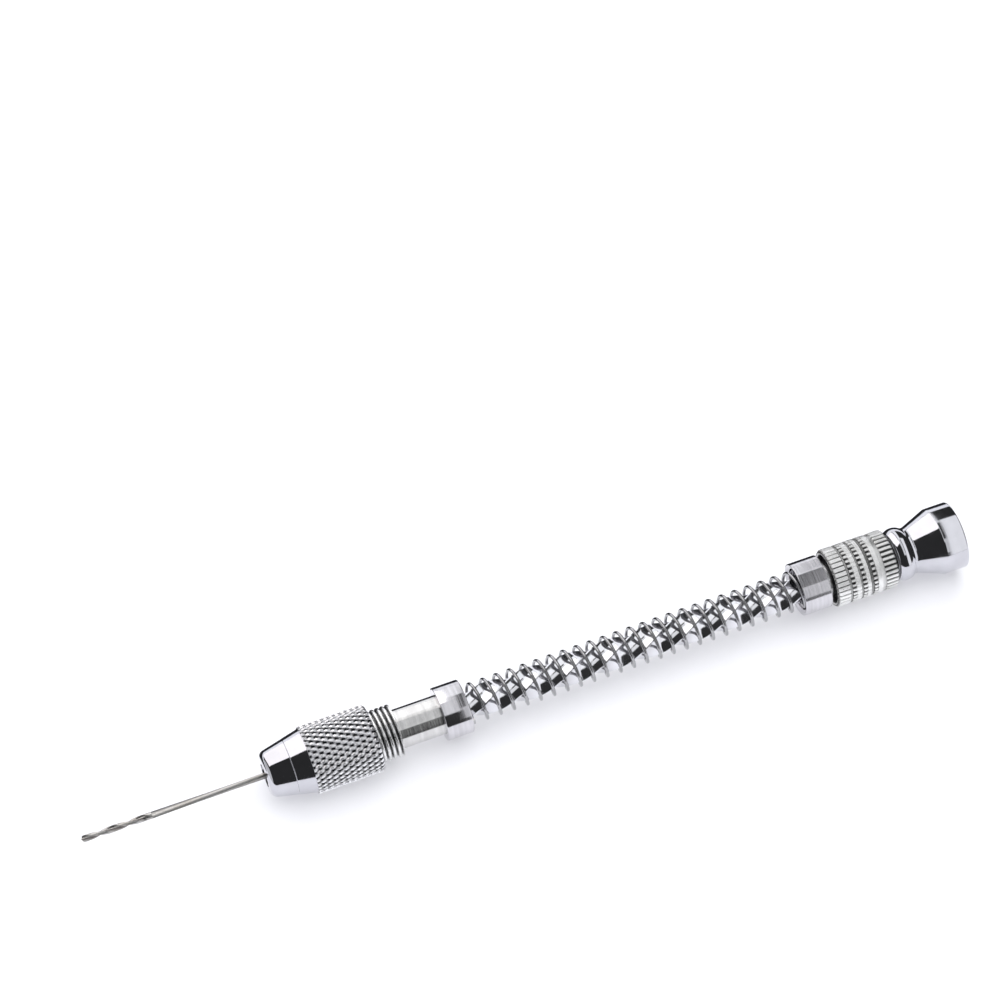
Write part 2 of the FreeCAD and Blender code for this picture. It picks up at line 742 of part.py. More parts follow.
BUILDERS = (
    end_cap,
    cap_bush,
    thrust_ball,
    tail_clip,
    tail_washer,
    stop_washer,
    twisted_rod,
    sleeve_rear_ring,
    grip_sleeve,
    drive_nut,
    thrust_washer,
    spring_seat_ring,
    return_spring,
    front_collar,
    rod_cross_pin,
    chuck_body,
    collet,
    chuck_nut,
    drill_bit,
)
CUTS = ("PartDesign::Pocket", "PartDesign::Groove", "PartDesign::PolarPattern", "PartDesign::SubtractivePipe")


def check_document():
    """Stop if a feature failed, a cut took nothing away or a piece isn't one sound solid."""
    for item in doc.Objects:
        if "Invalid" in item.State or "Error" in item.State:
            raise RuntimeError(f"{item.Name} failed: {item.State}")
        if item.TypeId in CUTS and item.Shape.Volume > item.BaseFeature.Shape.Volume - 1e-4:
            raise RuntimeError(f"{item.Name} cuts nothing")
    for part in parts:
        shape = part.Shape
        if shape.isNull() or not shape.isValid() or len(shape.Solids) != 1:
            raise RuntimeError(f"{part.Label} isn't one valid solid")
        if min(shape.BoundBox.XLength, shape.BoundBox.YLength, shape.BoundBox.ZLength) <= 0:
            raise RuntimeError(f"{part.Label} is flat")


for build_part in BUILDERS:
    build_part()
doc.recompute()
check_document()

os.makedirs("parts", exist_ok=True)
for part in parts:
    part.Shape.exportStep(f"parts/{part.Label}.step")
    print(f"{part.Label}: {part.Shape.Volume:.2f} mm3")
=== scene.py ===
# %% [markdown]
# # A push drill, looked at as a lesson
# This file builds the looks of a small hand drill. Pushing on the palm cap drives a knurled
# sleeve along a twisted square rod, which spins a chuck with a fine bit in it.
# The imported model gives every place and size; each cell below makes one piece or one finish.

import math

import bmesh
import bpy
import numpy as np
from mathutils import Matrix, Vector


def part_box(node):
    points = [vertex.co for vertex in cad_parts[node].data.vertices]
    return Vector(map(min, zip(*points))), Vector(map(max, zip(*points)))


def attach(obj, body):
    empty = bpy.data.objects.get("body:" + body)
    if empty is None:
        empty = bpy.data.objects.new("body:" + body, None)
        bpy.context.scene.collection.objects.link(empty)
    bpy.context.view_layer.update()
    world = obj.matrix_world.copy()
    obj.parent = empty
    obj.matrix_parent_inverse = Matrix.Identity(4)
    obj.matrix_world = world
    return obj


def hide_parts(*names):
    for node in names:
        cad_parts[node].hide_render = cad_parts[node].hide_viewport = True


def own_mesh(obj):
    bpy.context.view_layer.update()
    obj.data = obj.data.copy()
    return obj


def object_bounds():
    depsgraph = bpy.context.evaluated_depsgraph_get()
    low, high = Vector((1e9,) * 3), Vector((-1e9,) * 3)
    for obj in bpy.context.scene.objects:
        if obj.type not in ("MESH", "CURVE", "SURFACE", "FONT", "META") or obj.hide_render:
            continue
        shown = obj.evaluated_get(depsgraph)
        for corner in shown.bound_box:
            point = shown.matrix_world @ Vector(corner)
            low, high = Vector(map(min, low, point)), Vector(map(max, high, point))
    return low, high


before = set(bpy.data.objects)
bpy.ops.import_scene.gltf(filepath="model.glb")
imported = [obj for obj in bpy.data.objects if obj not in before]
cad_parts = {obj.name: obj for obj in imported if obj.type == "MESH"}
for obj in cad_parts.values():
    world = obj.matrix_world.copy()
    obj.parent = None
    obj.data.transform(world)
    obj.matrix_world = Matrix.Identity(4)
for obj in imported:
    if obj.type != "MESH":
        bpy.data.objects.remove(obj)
CAD_BOX = [list(corner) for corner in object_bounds()]
MM = 0.001
print("pieces in the packed model:", len(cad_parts))

# %% [markdown]
# ## Where things are
# The drill lies along X: the bit points to -X and the palm cap ends at x = 0. The places could
# be typed in, but each CAD piece gives its own two ends and its own outer radius, so a size that
# changes there changes here too.

# %% Ends and radius of a CAD piece
def ends(node):
    """First and last place of a CAD piece along the axis, in millimetres."""
    low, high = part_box(node)
    return low.x / MM, high.x / MM


def outer_radius(node):
    """Radius of the circle round the axis that a CAD piece fills, in millimetres."""
    low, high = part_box(node)
    return max(-low.y, high.y, -low.z, high.z) / MM


for node in ("end_cap", "grip_sleeve", "return_spring", "chuck_nut", "drill_bit"):
    print(node, [round(place, 2) for place in ends(node)], round(outer_radius(node), 2))

# %% [markdown]
# ## Ways to make a mesh
# Blender could build these pieces from primitives and modifiers, but points worked out by a
# formula follow the CAD sizes exactly. This helper turns points and faces into a clean piece:
# points that fall together are merged, faces look outward, and the shading is smooth except
# across real edges. A value named hollow can ride along with the points: it says how deep each
# one lies in a groove, from 0 to 1, and some finishes darken there.

# %% Tidy a new mesh and put it in the scene
SAME_POINT = 1e-7
NO_LENGTH = 1e-8


def in_scene(piece):
    """Put a new object in the scene and hand it back."""
    bpy.context.scene.collection.objects.link(piece)
    return piece


def finish_mesh(name, points, faces, sharp=35.0, hollow=None):
    """Piece from points in millimetres; edges steeper than sharp degrees stay crisp."""
    mesh = bpy.data.meshes.new(name)
    mesh.from_pydata((np.asarray(points) * MM).tolist(), [], faces)
    if hollow is not None:
        depth = mesh.attributes.new("hollow", "FLOAT", "POINT")
        depth.data.foreach_set("value", np.asarray(hollow, np.float32).ravel())
    work = bmesh.new()
    work.from_mesh(mesh)
    bmesh.ops.remove_doubles(work, verts=work.verts, dist=SAME_POINT)
    bmesh.ops.dissolve_degenerate(work, edges=work.edges, dist=NO_LENGTH)
    bmesh.ops.recalc_face_normals(work, faces=work.faces)
    work.to_mesh(mesh)
    work.free()
    mesh.shade_smooth()
    mesh.set_sharp_from_angle(angle=math.radians(sharp))
    return in_scene(bpy.data.objects.new(name, mesh))


# %% [markdown]
# Almost every piece here was made on a lathe, so almost every mesh is a stack of rings round
# the X axis. A ring can be a plain circle, or its radius can change round the circle, which is
# how knurls and threads are cut. Neighbouring rings are joined by faces. Where creases slant,
# as in the diamond knurl, the faces are split into triangles that lean to and fro.

# %% Rings, and the faces between them
def circle(steps):
    """Evenly spaced angles round the axis."""
    return np.linspace(0, 2 * math.pi, steps, endpoint=False)


def ring(place, radius, angles):
    """Points of one ring; the radius is one number or one for each angle."""
    return np.stack([np.full(len(angles), place), radius * np.cos(angles), radius * np.sin(angles)], 1)


def skin(rings, around, closed=False, crossed=()):
    """Faces between neighbouring rings; a closed skin also joins the last ring to the first.

    Rows of faces that crossed names are split into triangles that lean to and fro.
    """
    faces = []
    for row in range(rings if closed else rings - 1):
        after = (row + 1) % rings
        for step in range(around):
            beside = (step + 1) % around
            a, b = row * around + step, row * around + beside
            c, d = after * around + beside, after * around + step
            if row not in crossed:
                faces.append((a, b, c, d))
            elif (row + step) % 2:
                faces += [(a, b, d), (b, c, d)]
            else:
                faces += [(a, b, c), (a, c, d)]
    return faces


def stack_rings(name, rings, angles, crossed=(), hollow=None):
    """Piece from a list of (place, radius) rings that run outside and back through the bore."""
    points = np.concatenate([ring(place, radius, angles) for place, radius in rings])
    faces = skin(len(rings), len(angles), closed=True, crossed=crossed)
    return finish_mesh(name, points, faces, hollow=hollow)


# %% [markdown]
# A lathe tool never leaves a perfect corner, and real edges catch the light. A Bevel modifier
# could round them, but it would round the knurls too. Each outline below lists only the corners
# of a piece, and this helper eases them into tiny arcs.

# %% Ease the corners of an outline
def eased(corners, ease=0.07, steps=4, most=0.45, least=1e-4):
    """Closed outline of (place, radius) points with a small arc at each corner.

    A corner's third value sets the size of its own arc. No arc takes more than the share most
    of the side beside it, and corners on the axis or with an arc below least stay as they are.
    """
    flat = [np.array(corner[:2], float) for corner in corners]
    outline = []
    for number, corner in enumerate(corners):
        here = flat[number]
        back, ahead = flat[number - 1] - here, flat[(number + 1) % len(flat)] - here
        reach = min(corner[2] if len(corner) > 2 else ease,
                    most * np.linalg.norm(back), most * np.linalg.norm(ahead))
        if reach < least or here[1] == 0:
            outline.append(here)
            continue
        start = here + back / np.linalg.norm(back) * reach
        finish = here + ahead / np.linalg.norm(ahead) * reach
        for share in np.arange(steps + 1) / steps:
            outline.append((1 - share) ** 2 * start + 2 * share * (1 - share) * here + share ** 2 * finish)
    return outline


# %% [markdown]
# A turned piece is an eased outline spun round the axis. The arcs are so small that smooth
# shading would smear them over the long faces; weighted normals let the long faces win.

# %% Turn an outline
def flat_faced(piece):
    """Let the large faces of a piece keep their own flat shading."""
    even = piece.modifiers.new("even_normals", "WEIGHTED_NORMAL")
    even.keep_sharp = True
    return piece


def turned_piece(name, corners, around=192):
    """A piece turned from an outline."""
    return flat_faced(stack_rings(name, eased(corners), circle(around)))


# %% [markdown]
# ## Finishes
# All the metal is bright, but no two pieces were finished alike. Image textures could be wrapped
# round them, but stretched noise needs no files and stays sharp up close. The first helper
# starts a metal, and the second makes noise that is longer one way than another.

# %% Start a metal, and stretch noise into marks
def new_metal(name, colour, roughness, stretched=0.0):
    """A plain metal, ready for its marks; stretched smears its shine round or along the axis."""
    metal = bpy.data.materials.new(name)
    metal.use_nodes = True
    nodes, links = metal.node_tree.nodes, metal.node_tree.links
    shader = nodes["Principled BSDF"]
    shader.inputs["Metallic"].default_value = 1.0
    shader.inputs["Anisotropic"].default_value = stretched
    shader.inputs["Base Color"].default_value = (*colour, 1)
    shader.inputs["Roughness"].default_value = roughness
    if stretched:
        tangent = nodes.new("ShaderNodeTangent")
        tangent.direction_type = "RADIAL"
        tangent.axis = "X"
        links.new(tangent.outputs["Tangent"], shader.inputs["Tangent"])
    return metal, nodes, links, shader


def marks(nodes, links, scale, detail=4.0):
    """Noise stretched by different amounts along X, Y and Z, counted in marks per millimetre."""
    place = nodes.new("ShaderNodeTexCoord")
    spread = nodes.new("ShaderNodeMapping")
    spread.inputs["Scale"].default_value = [marks_per_mm / MM for marks_per_mm in scale]
    links.new(place.outputs["Object"], spread.inputs["Vector"])
    noise = nodes.new("ShaderNodeTexNoise")
    noise.inputs["Scale"].default_value = 1.0
    noise.inputs["Detail"].default_value = detail
    links.new(spread.outputs["Vector"], noise.inputs["Vector"])
    return noise.outputs["Fac"]


# %% [markdown]
# Noise does nothing by itself. Its values crowd round one half, so first they are spread over a
# range. Then they can mix two colours.

# %% Spread a value, and mix colours by it
def ranged(nodes, links, value, low, high, start=0.35, stop=0.65):
    """Stretch a noise value to run from low to high."""
    change = nodes.new("ShaderNodeMapRange")
    change.inputs["From Min"].default_value = start
    change.inputs["From Max"].default_value = stop
    change.inputs["To Min"].default_value = low
    change.inputs["To Max"].default_value = high
    links.new(value, change.inputs["Value"])
    return change.outputs["Result"]


def tinted(nodes, links, value, dark, light):
    """Mix between two colours by a value from 0 to 1."""
    mix = nodes.new("ShaderNodeMix")
    mix.data_type = "RGBA"
    mix.inputs["A"].default_value = (*dark, 1)
    mix.inputs["B"].default_value = (*light, 1)
    links.new(value, mix.inputs["Factor"])
    return mix.outputs["Result"]


# %% [markdown]
# With these two, noise can reach the three things that make one metal look unlike another: how
# dull it is, its tone, and dents a few thousandths of a millimetre deep.

# %% Let marks change roughness, colour and shape
def bumped(nodes, links, shader, heights, depth_mm):
    """Let one or more noise values dent the surface, one after the other."""
    normal = None
    for height, depth in zip(heights, depth_mm):
        bump = nodes.new("ShaderNodeBump")
        bump.inputs["Distance"].default_value = depth * MM
        links.new(height, bump.inputs["Height"])
        if normal:
            links.new(normal, bump.inputs["Normal"])
        normal = bump.outputs["Normal"]
    links.new(normal, shader.inputs["Normal"])


def mottled(nodes, links, shader, spots, light, dark):
    """Let slow noise move the colour between a lighter and a darker tone."""
    links.new(tinted(nodes, links, ranged(nodes, links, spots, 0, 1), dark, light),
              shader.inputs["Base Color"])


def dulled(nodes, links, shader, spots, least, most):
    """Let noise move the roughness between two values."""
    links.new(ranged(nodes, links, spots, least, most), shader.inputs["Roughness"])


# %% [markdown]
# **Polished plate** is on the palm cap, the nose and the rod. It is nearly a mirror. A plain
# metal shader would look like a computer's mirror, so it gets fine circular polishing lines,
# faint haze and a few soft scratches.

# %% Polished plate
def polished_plate(name, colour, roughness, lines):
    metal, nodes, links, shader = new_metal(name, colour, roughness, stretched=0.25)
    haze = marks(nodes, links, (0.35, 0.35, 0.35))
    fine_lines = marks(nodes, links, (9.0, 0.25, 0.25), detail=6)
    scratches = marks(nodes, links, (1.3, 14.0, 3.0), detail=2)
    dulled(nodes, links, shader, haze, roughness * 0.7, roughness * 1.9)
    mottled(nodes, links, shader, haze, colour, [0.9 * value for value in colour])
    bumped(nodes, links, shader, [fine_lines, scratches], [lines, lines * 0.6])
    return metal


# %% [markdown]
# **Turned steel** is on the shaft, the collar and the cup ring. The tool's feed leaves rings
# round the piece. Rings far finer than the mesh are best left to noise: one fine, one coarse,
# and the shader's own stretched shine, which smears the light along the axis.

# %% Turned steel
ALONG_AXIS = 0.25


def turned_steel(name, colour, roughness, ring_depth, rings_per_mm, stretched):
    metal, nodes, links, shader = new_metal(name, colour, roughness, stretched)
    shader.inputs["Anisotropic Rotation"].default_value = ALONG_AXIS
    rings = marks(nodes, links, (rings_per_mm, 0.06, 0.06), detail=5)
    coarse = marks(nodes, links, (rings_per_mm * 0.22, 0.1, 0.1), detail=3)
    grain = marks(nodes, links, (5.0, 5.0, 5.0), detail=3)
    dulled(nodes, links, shader, rings, roughness * 0.75, roughness * 1.35)
    mottled(nodes, links, shader, coarse, colour, [0.82 * value for value in colour])
    bumped(nodes, links, shader, [rings, coarse, grain], [ring_depth, ring_depth * 0.7, ring_depth * 0.2])
    return metal


# %% [markdown]
# ** Knurled plate** is polished on its crests, where fingers and the knurling wheel rub it, and
# its grooves get painted shade: their colour darkens by the hollow value. An Ambient
# Occlusion node could find the grooves, but the mesh already knows them by its hollow value.

# %% Knurled plate
def groove_value(nodes):
    """The hollow value that a mesh carries."""
    shape = nodes.new("ShaderNodeAttribute")
    shape.attribute_name = "hollow"
    return shape.outputs["Fac"]


def knurled_plate(name, colour, groove_colour, roughness):
    metal, nodes, links, shader = new_metal(name, colour, roughness)
    # Painted shade: the colour turns towards groove_colour where the hollow value is high.
    painted_shade = ranged(nodes, links, groove_value(nodes), 0, 1, start=0.15, stop=0.9)
    grain = marks(nodes, links, (6.0, 6.0, 6.0), detail=4)
    links.new(tinted(nodes, links, painted_shade, colour, groove_colour), shader.inputs["Base Color"])
    dulled(nodes, links, shader, grain, roughness * 0.7, roughness * 1.5)
    bumped(nodes, links, shader, [grain], [0.0012])
    return metal


# %% [markdown]
# **Drawn wire** carries faint lines from the die that it was pulled through, and dull spots
# from handling. Both are noise, stretched for the lines and even for the spots.

# %% Drawn wire
def drawn_wire(name, colour, roughness):
    metal, nodes, links, shader = new_metal(name, colour, roughness)
    lines = marks(nodes, links, (12.0, 3.0, 3.0), detail=3)
    spots = marks(nodes, links, (0.8, 0.8, 0.8), detail=4)
    dulled(nodes, links, shader, spots, roughness * 0.7, roughness * 1.6)
    mottled(nodes, links, shader, spots, colour, [0.8 * value for value in colour])
    bumped(nodes, links, shader, [lines], [0.0012])
    return metal


# %% [markdown]
# ** Ground steel** is greyer and has a fine frosty grain from the stone, with a warmer tone in
# patches. The bit's flutes get painted shade: their trailing half darkens through the hollow
# value, so a piece without flutes leaves it out.

# %% Ground steel
def ground_steel(name, colour, warm, roughness, groove_colour=None):
    metal, nodes, links, shader = new_metal(name, colour, roughness, stretched=0.4)
    shader.inputs["Anisotropic Rotation"].default_value = ALONG_AXIS
    grind = marks(nodes, links, (16.0, 1.2, 1.2), detail=5)
    patches = marks(nodes, links, (0.5, 0.9, 0.9), detail=3)
    dulled(nodes, links, shader, grind, roughness * 0.8, roughness * 1.3)
    steel_colour = tinted(nodes, links, ranged(nodes, links, patches, 0, 1), warm, colour)
    # Painted shade: the hollow value darkens the flutes towards groove_colour.
    if groove_colour:
        painted_shade = nodes.new("ShaderNodeMix")
        painted_shade.data_type = "RGBA"
        painted_shade.inputs["B"].default_value = (*groove_colour, 1)
        links.new(groove_value(nodes), painted_shade.inputs["Factor"])
        links.new(steel_colour, painted_shade.inputs["A"])
        steel_colour = painted_shade.outputs["Result"]
    links.new(steel_colour, shader.inputs["Base Color"])
    bumped(nodes, links, shader, [grind], [0.0015])
    return metal


# %% [markdown]
# Now every finish is mixed once. Pieces that came out of one bath share a finish, and the rest
# differ in tone, in roughness and in the depth of their marks, which is given in millimetres.

# %% Mix every finish that the drill needs
FINISHES = {
    "chrome_cap": polished_plate("cap_chrome", (0.62, 0.62, 0.66), roughness=0.06, lines=0.0009),
    "nose_polish": polished_plate("nose_chrome", (0.61, 0.61, 0.65), roughness=0.05, lines=0.0005),
    "rod_chrome": polished_plate("rod_bright_steel", (0.76, 0.76, 0.79), roughness=0.07, lines=0.0004),
    "turned_steel": turned_steel("shaft_turned_steel", (0.70, 0.695, 0.69), roughness=0.17,
                                 ring_depth=0.0045, rings_per_mm=5.0, stretched=0.75),
    "brushed_ring": turned_steel("ring_satin_steel", (0.66, 0.65, 0.68), roughness=0.11,
                                 ring_depth=0.0009, rings_per_mm=9.0, stretched=0.3),
    # groove_colour is painted shade: the knurls' pits and grooves and the thread's roots darken to it.
    "nut_nickel": knurled_plate("nose_nut_nickel", (0.86, 0.86, 0.88),
                                groove_colour=(0.04, 0.04, 0.045), roughness=0.32),
    "sleeve_nickel": knurled_plate("sleeve_nickel", (0.88, 0.88, 0.87),
                                   groove_colour=(0.07, 0.07, 0.07), roughness=0.36),
    "thread_steel": knurled_plate("shaft_thread_steel", (0.78, 0.78, 0.78),
                                  groove_colour=(0.16, 0.16, 0.16), roughness=0.24),
    "spring_steel": drawn_wire("spring_wire_steel", (0.43, 0.43, 0.44), roughness=0.07),
    # The bit's groove_colour is the painted shade in its flutes.
    "bit_steel": ground_steel("bit_tool_steel", (0.48, 0.475, 0.465), warm=(0.42, 0.405, 0.38),
                              roughness=0.34, groove_colour=(0.13, 0.11, 0.11)),
    "hard_steel": ground_steel("washer_hard_steel", (0.74, 0.74, 0.75), warm=(0.62, 0.62, 0.63),
                               roughness=0.14),
    "nut_plated": ground_steel("nut_nickel_plate", (0.80, 0.80, 0.81), warm=(0.68, 0.68, 0.69),
                               roughness=0.14),
    "bush_bronze": ground_steel("bush_bearing_bronze", (0.55, 0.38, 0.22), warm=(0.42, 0.28, 0.16),
                                roughness=0.4),
}
print("finishes mixed:", len(FINISHES))

# %% [markdown]
# ## Putting a piece on the drill
# A finished piece has to move with the right part of the drill and stand in for its plain CAD
# piece. Doing both in one helper means that no piece can be forgotten. Two pieces have a second
# finish in front of some place along the axis; the second helper gives it to those faces.

# %% Give a piece its finish, its body and the CAD pieces it stands for
def fit(piece, body, slot, *nodes):
    piece.data.materials.append(FINISHES[slot])
    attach(piece, body)
    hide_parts(*nodes)
    print(piece.name, "faces:", len(piece.data.polygons))
    return piece


def finish_front(piece, slot, place):
    """Give the faces in front of a place a second finish."""
    piece.data.materials.append(FINISHES[slot])
    for side in piece.data.polygons:
        if side.center.x / MM < place:
            side.material_index = 1
    return piece


# %% [markdown]
# ## Palm cap
# The cap is turned from one bar: a round bead in front, a narrow neck, a cone and a broad plain
# rim that the palm pushes on. A Screw modifier could spin its outline too, but a stack of rings
# keeps the edges' small arcs exact. The bead's own arc follows from its length and height.

# %% Round bead
def bead_corners(front, length, neck, bead, ease, steps=12):
    """Corners along an arc that rises from the neck's radius to the bead's and drops again."""
    rise = bead - neck
    arc = ((length / 2) ** 2 + rise ** 2) / (2 * rise)
    corners = []
    for step in range(steps + 1):
        along = length * step / steps
        out = bead - arc + math.sqrt(arc ** 2 - (along - length / 2) ** 2)
        corners.append((front + along, out, ease if step in (0, steps) else 0.0))
    return corners


# %% Palm cap
def palm_cap():
    front, rear = ends("end_cap")
    rim = outer_radius("end_cap")
    neck, bead, bead_length, neck_length, rim_length, neck_ease = 3.5, 4.0, 2.6, 0.5, 3.35, 0.12
    mark, mark_depth, mark_slope = 1.45, 0.06, 0.15
    ball_play, past_bush, ball_pocket, pocket_slope = 0.05, 0.45, 0.5, 0.2
    bush = outer_radius("cap_bush")
    bush_rear = ends("cap_bush")[1] + past_bush
    ball = outer_radius("thrust_ball") + ball_play
    ball_front = ends("thrust_ball")[0] + ball_pocket
    ball_rear = ends("thrust_ball")[1]
    corners = [
        (front, bush, 0.05),
        *bead_corners(front, bead_length, neck, bead, neck_ease),
        (front + bead_length + neck_length, neck, neck_ease),
        (rear - rim_length, rim, 0.1),
        (rear, rim, 0.22),
        (rear, mark + mark_slope, 0.05),
        (rear - mark_depth, mark, 0.05),
        (rear - mark_depth, 0),
        (ball_rear, 0),
        (ball_rear, ball),
        (ball_front, ball),
        (max(ball_front - pocket_slope, bush_rear), bush),
    ]
    return fit(turned_piece("palm_cap", corners, 224), "end_cap", "chrome_cap", "end_cap")


palm_cap()

# %% [markdown]
# ## Knurled sleeve
# The slider's shell has straight teeth rolled over its whole length, then grooves turned through
# them, which leaves bands of small pads. The teeth could be one tooth repeated by an Array, but
# then the bands would need cutting. Here each ring has all 36 teeth, and only its radii change.

# %% Shape of the teeth round one ring
TEETH = 36
TOOTH_STEPS = np.array([0, 0.07, 0.12, 0.17, 0.23, 0.28, 0.36, 0.44, 0.5, 0.56, 0.64, 0.72,
                        0.77, 0.83, 0.88, 0.93])
TOOTH_ANGLES = np.concatenate([(tooth + TOOTH_STEPS) / TEETH for tooth in range(TEETH)]) * 2 * math.pi
AWAY = np.tile(np.minimum(TOOTH_STEPS, 1 - TOOTH_STEPS), TEETH)
PLAIN = np.ones(len(TOOTH_ANGLES))


def toothed(radius, depth, floor, top):
    """Radius round a ring: a groove between teeth, flat to floor and closed at top, in tooth widths."""
    return radius - depth * np.clip((top - AWAY) / (top - floor), 0, 1)


def groove_depth(radii, radius, deepest, full=0.3):
    """How deep each point lies in a groove, from 0 to 1; what is below deepest is a plain wall."""
    radii = np.array(radii)
    hollow = np.clip((radius - radii) / full, 0, 1)
    hollow[radii < radius - deepest] = 0
    return hollow


print("points round a toothed ring:", len(TOOTH_ANGLES))

# %% [markdown]
# The bands are listed as they come along the sleeve. Fine and faint bands keep the teeth deep or
# nearly rubbed away, pads have wide gaps between them, and grooves cut all the teeth off.

# %% Bands of the sleeve, front to rear
SLEEVE_BANDS = [
    # length, kind
    (1.95, "fine"),
    (0.30, "groove"),
    (0.60, "pads"),
    (0.85, "faint"),
    (0.25, "groove"),
    (0.60, "pads"),
    (0.70, "faint"),
    (0.12, "groove"),
    (0.14, "thread"),
    (0.14, "groove"),
    (0.60, "pads"),
    (0.80, "smooth"),
]


def banded_rings(front, radius):
    """Rings of all the bands: each band rises at its front edge, runs, and drops at its rear edge."""
    kinds = {
        "fine": toothed(radius, 0.24, 0.05, 0.13),
        "faint": toothed(radius, 0.07, 0.05, 0.13),
        "pads": toothed(radius, 0.3, 0.17, 0.28),
        "groove": PLAIN * (radius - 0.15),
        "thread": PLAIN * (radius - 0.08),
        "smooth": PLAIN * (radius - 0.03),
    }
    edge, wall, step, chamfer = 0.07, 0.03, 0.06, 0.28
    rings, at = [], front
    for number, (length, kind) in enumerate(SLEEVE_BANDS):
        top = kinds[kind]
        start, lead, drop = (wall, edge, step) if number else (0, chamfer, chamfer)
        rings += [(at + start, top - drop), (at + lead, top), (at + length - edge, top),
                  (at + length - wall, top - step)]
        at += length
    return rings


print("bands fill", round(sum(length for length, _ in SLEEVE_BANDS), 2), "mm")

# %% [markdown]
# The sleeve is the bands outside and a stepped bore inside, where the drive nut sits. Its front
# mouth gets the grooves' full painted shade, because little light gets in past the boss of the nut.

# %% Knurled sleeve
def knurled_sleeve():
    front, rear = ends("grip_sleeve")
    radius = outer_radius("grip_sleeve")
    nut_play, lip_height, lip_start, lip_length = 0.01, 0.45, 0.45, 0.9
    mouth_width, mouth_depth, flare, flare_depth, rear_drop = 0.82, 0.8, 0.1, 0.12, 0.14
    bore = outer_radius("drive_nut") + nut_play
    lip = bore - lip_height
    mouth = lip + mouth_width
    nut_floor = ends("drive_nut")[0] + lip_start + lip_length
    throat = [(front + mouth_depth, PLAIN * lip), (front + mouth_depth, PLAIN * (mouth - flare)),
              (front + flare_depth, PLAIN * mouth)]
    rings = [
        *throat,
        (front, PLAIN * (mouth + flare)),
        *banded_rings(front, radius),
        (rear, PLAIN * (radius - rear_drop)),
        (rear, PLAIN * bore),
        (nut_floor, PLAIN * bore),
        (nut_floor, PLAIN * lip),
    ]
    # The hollow value paints shade into the grooves and the gaps between teeth, and fully into the throat.
    hollow = groove_depth([radii for _, radii in rings], radius, deepest=0.35)
    hollow[:len(throat)] = 1
    piece = stack_rings("knurled_sleeve", rings, TOOTH_ANGLES, hollow=hollow)
    return fit(piece, "slider", "sleeve_nickel", "grip_sleeve")


knurled_sleeve()

# %% [markdown]
# The last knurled band of the sleeve is a ring of its own, pressed on behind a deeper notch. It
# has the same teeth, cut deeper, and its rear face is dished round the washer that stops it.

# %% Rear ring of the sleeve
def sleeve_tail_ring():
    front, rear = ends("sleeve_rear_ring")
    radius = outer_radius("sleeve_rear_ring")
    spigot = outer_radius("drive_nut")
    washer_play, washer_gap, lip_height, step, edge = 0.2, 0.03, 0.6, 0.06, 0.07
    slope_front, slope_rear, slope_drop, face_drop, dish, dish_depth = 0.3, 0.08, 0.22, 0.36, 0.12, 0.1
    mouth = outer_radius("stop_washer") + washer_play
    hole = mouth - lip_height
    shoulder = ends("grip_sleeve")[1]
    washer_floor = ends("stop_washer")[0] - washer_gap
    teeth = toothed(radius, 0.27, 0.14, 0.26)
    rings = [
        (washer_floor, PLAIN * hole),
        (front, PLAIN * hole),
        (front, PLAIN * spigot),
        (shoulder, PLAIN * spigot),
        (shoulder, teeth - step),
        (shoulder + edge, teeth),
        (rear - slope_front, teeth),
        (rear - slope_rear, np.minimum(teeth, radius - slope_drop)),
        (rear, PLAIN * (radius - face_drop)),
        (rear, PLAIN * (mouth + dish)),
        (rear - dish_depth, PLAIN * mouth),
        (washer_floor, PLAIN * mouth),
    ]
    # The hollow value paints shade into the gaps between the teeth.
    hollow = groove_depth([radii for _, radii in rings], radius, deepest=0.37)
    piece = stack_rings("sleeve_tail_ring", rings, TOOTH_ANGLES, hollow=hollow)
    return fit(piece, "slider", "sleeve_nickel", "sleeve_rear_ring")


sleeve_tail_ring()

# %% [markdown]
# ## Cup ring
# A thin turned cup slides on the rod with the sleeve behind it, and the last coils of the spring
# sit in it. Its mouth is opened by a wide slope. A tube with a Boolean hole would do, but the
# outline gives the slope and the floor in one go.

# %% Cup ring
def spring_cup():
    front, rear = ends("spring_seat_ring")
    radius = outer_radius("spring_seat_ring")
    bore, depth, lip, mouth, spring_play = 2.45, 2.25, 0.24, 0.3, 0.15
    cup = outer_radius("return_spring") + spring_play
    corners = [
        (front + mouth, cup, 0.05), (front, radius - lip, 0.05), (front, radius, 0.1), (rear, radius, 0.12),
        (rear, bore), (front + depth, bore), (front + depth, cup),
    ]
    return fit(turned_piece("spring_cup", corners), "spring_seat", "brushed_ring", "spring_seat_ring")


spring_cup()

# %% [markdown]
# ## Front collar
# A plain turned ring pressed on the shaft, which the front end of the spring pushes against.
# Four corners are its whole outline; only its eased edges show that it isn't a bare cylinder.

# %% Front collar
def stop_collar():
    front, rear = ends("front_collar")
    radius = outer_radius("front_collar")
    bore = 2.91
    corners = [
        (front, bore, 0.12), (front, radius, 0.12), (rear, radius, 0.12), (rear, bore, 0.05),
    ]
    return fit(turned_piece("stop_collar", corners), "spindle", "brushed_ring", "front_collar")


stop_collar()

# %% [markdown]
# ## Twisted rod
# The rod is square bar that has been twisted to the left, and its corners are slightly broken.
# A Simple Deform modifier can twist a bar, but the drive nut has to fit round this one, so its
# turn has to be exact. The way its corners face at x = 0 is read from the CAD piece.

# %% Which way the rod's corners face
ROD_LEAD = 24.9
SQUARE_HALF = 1.7


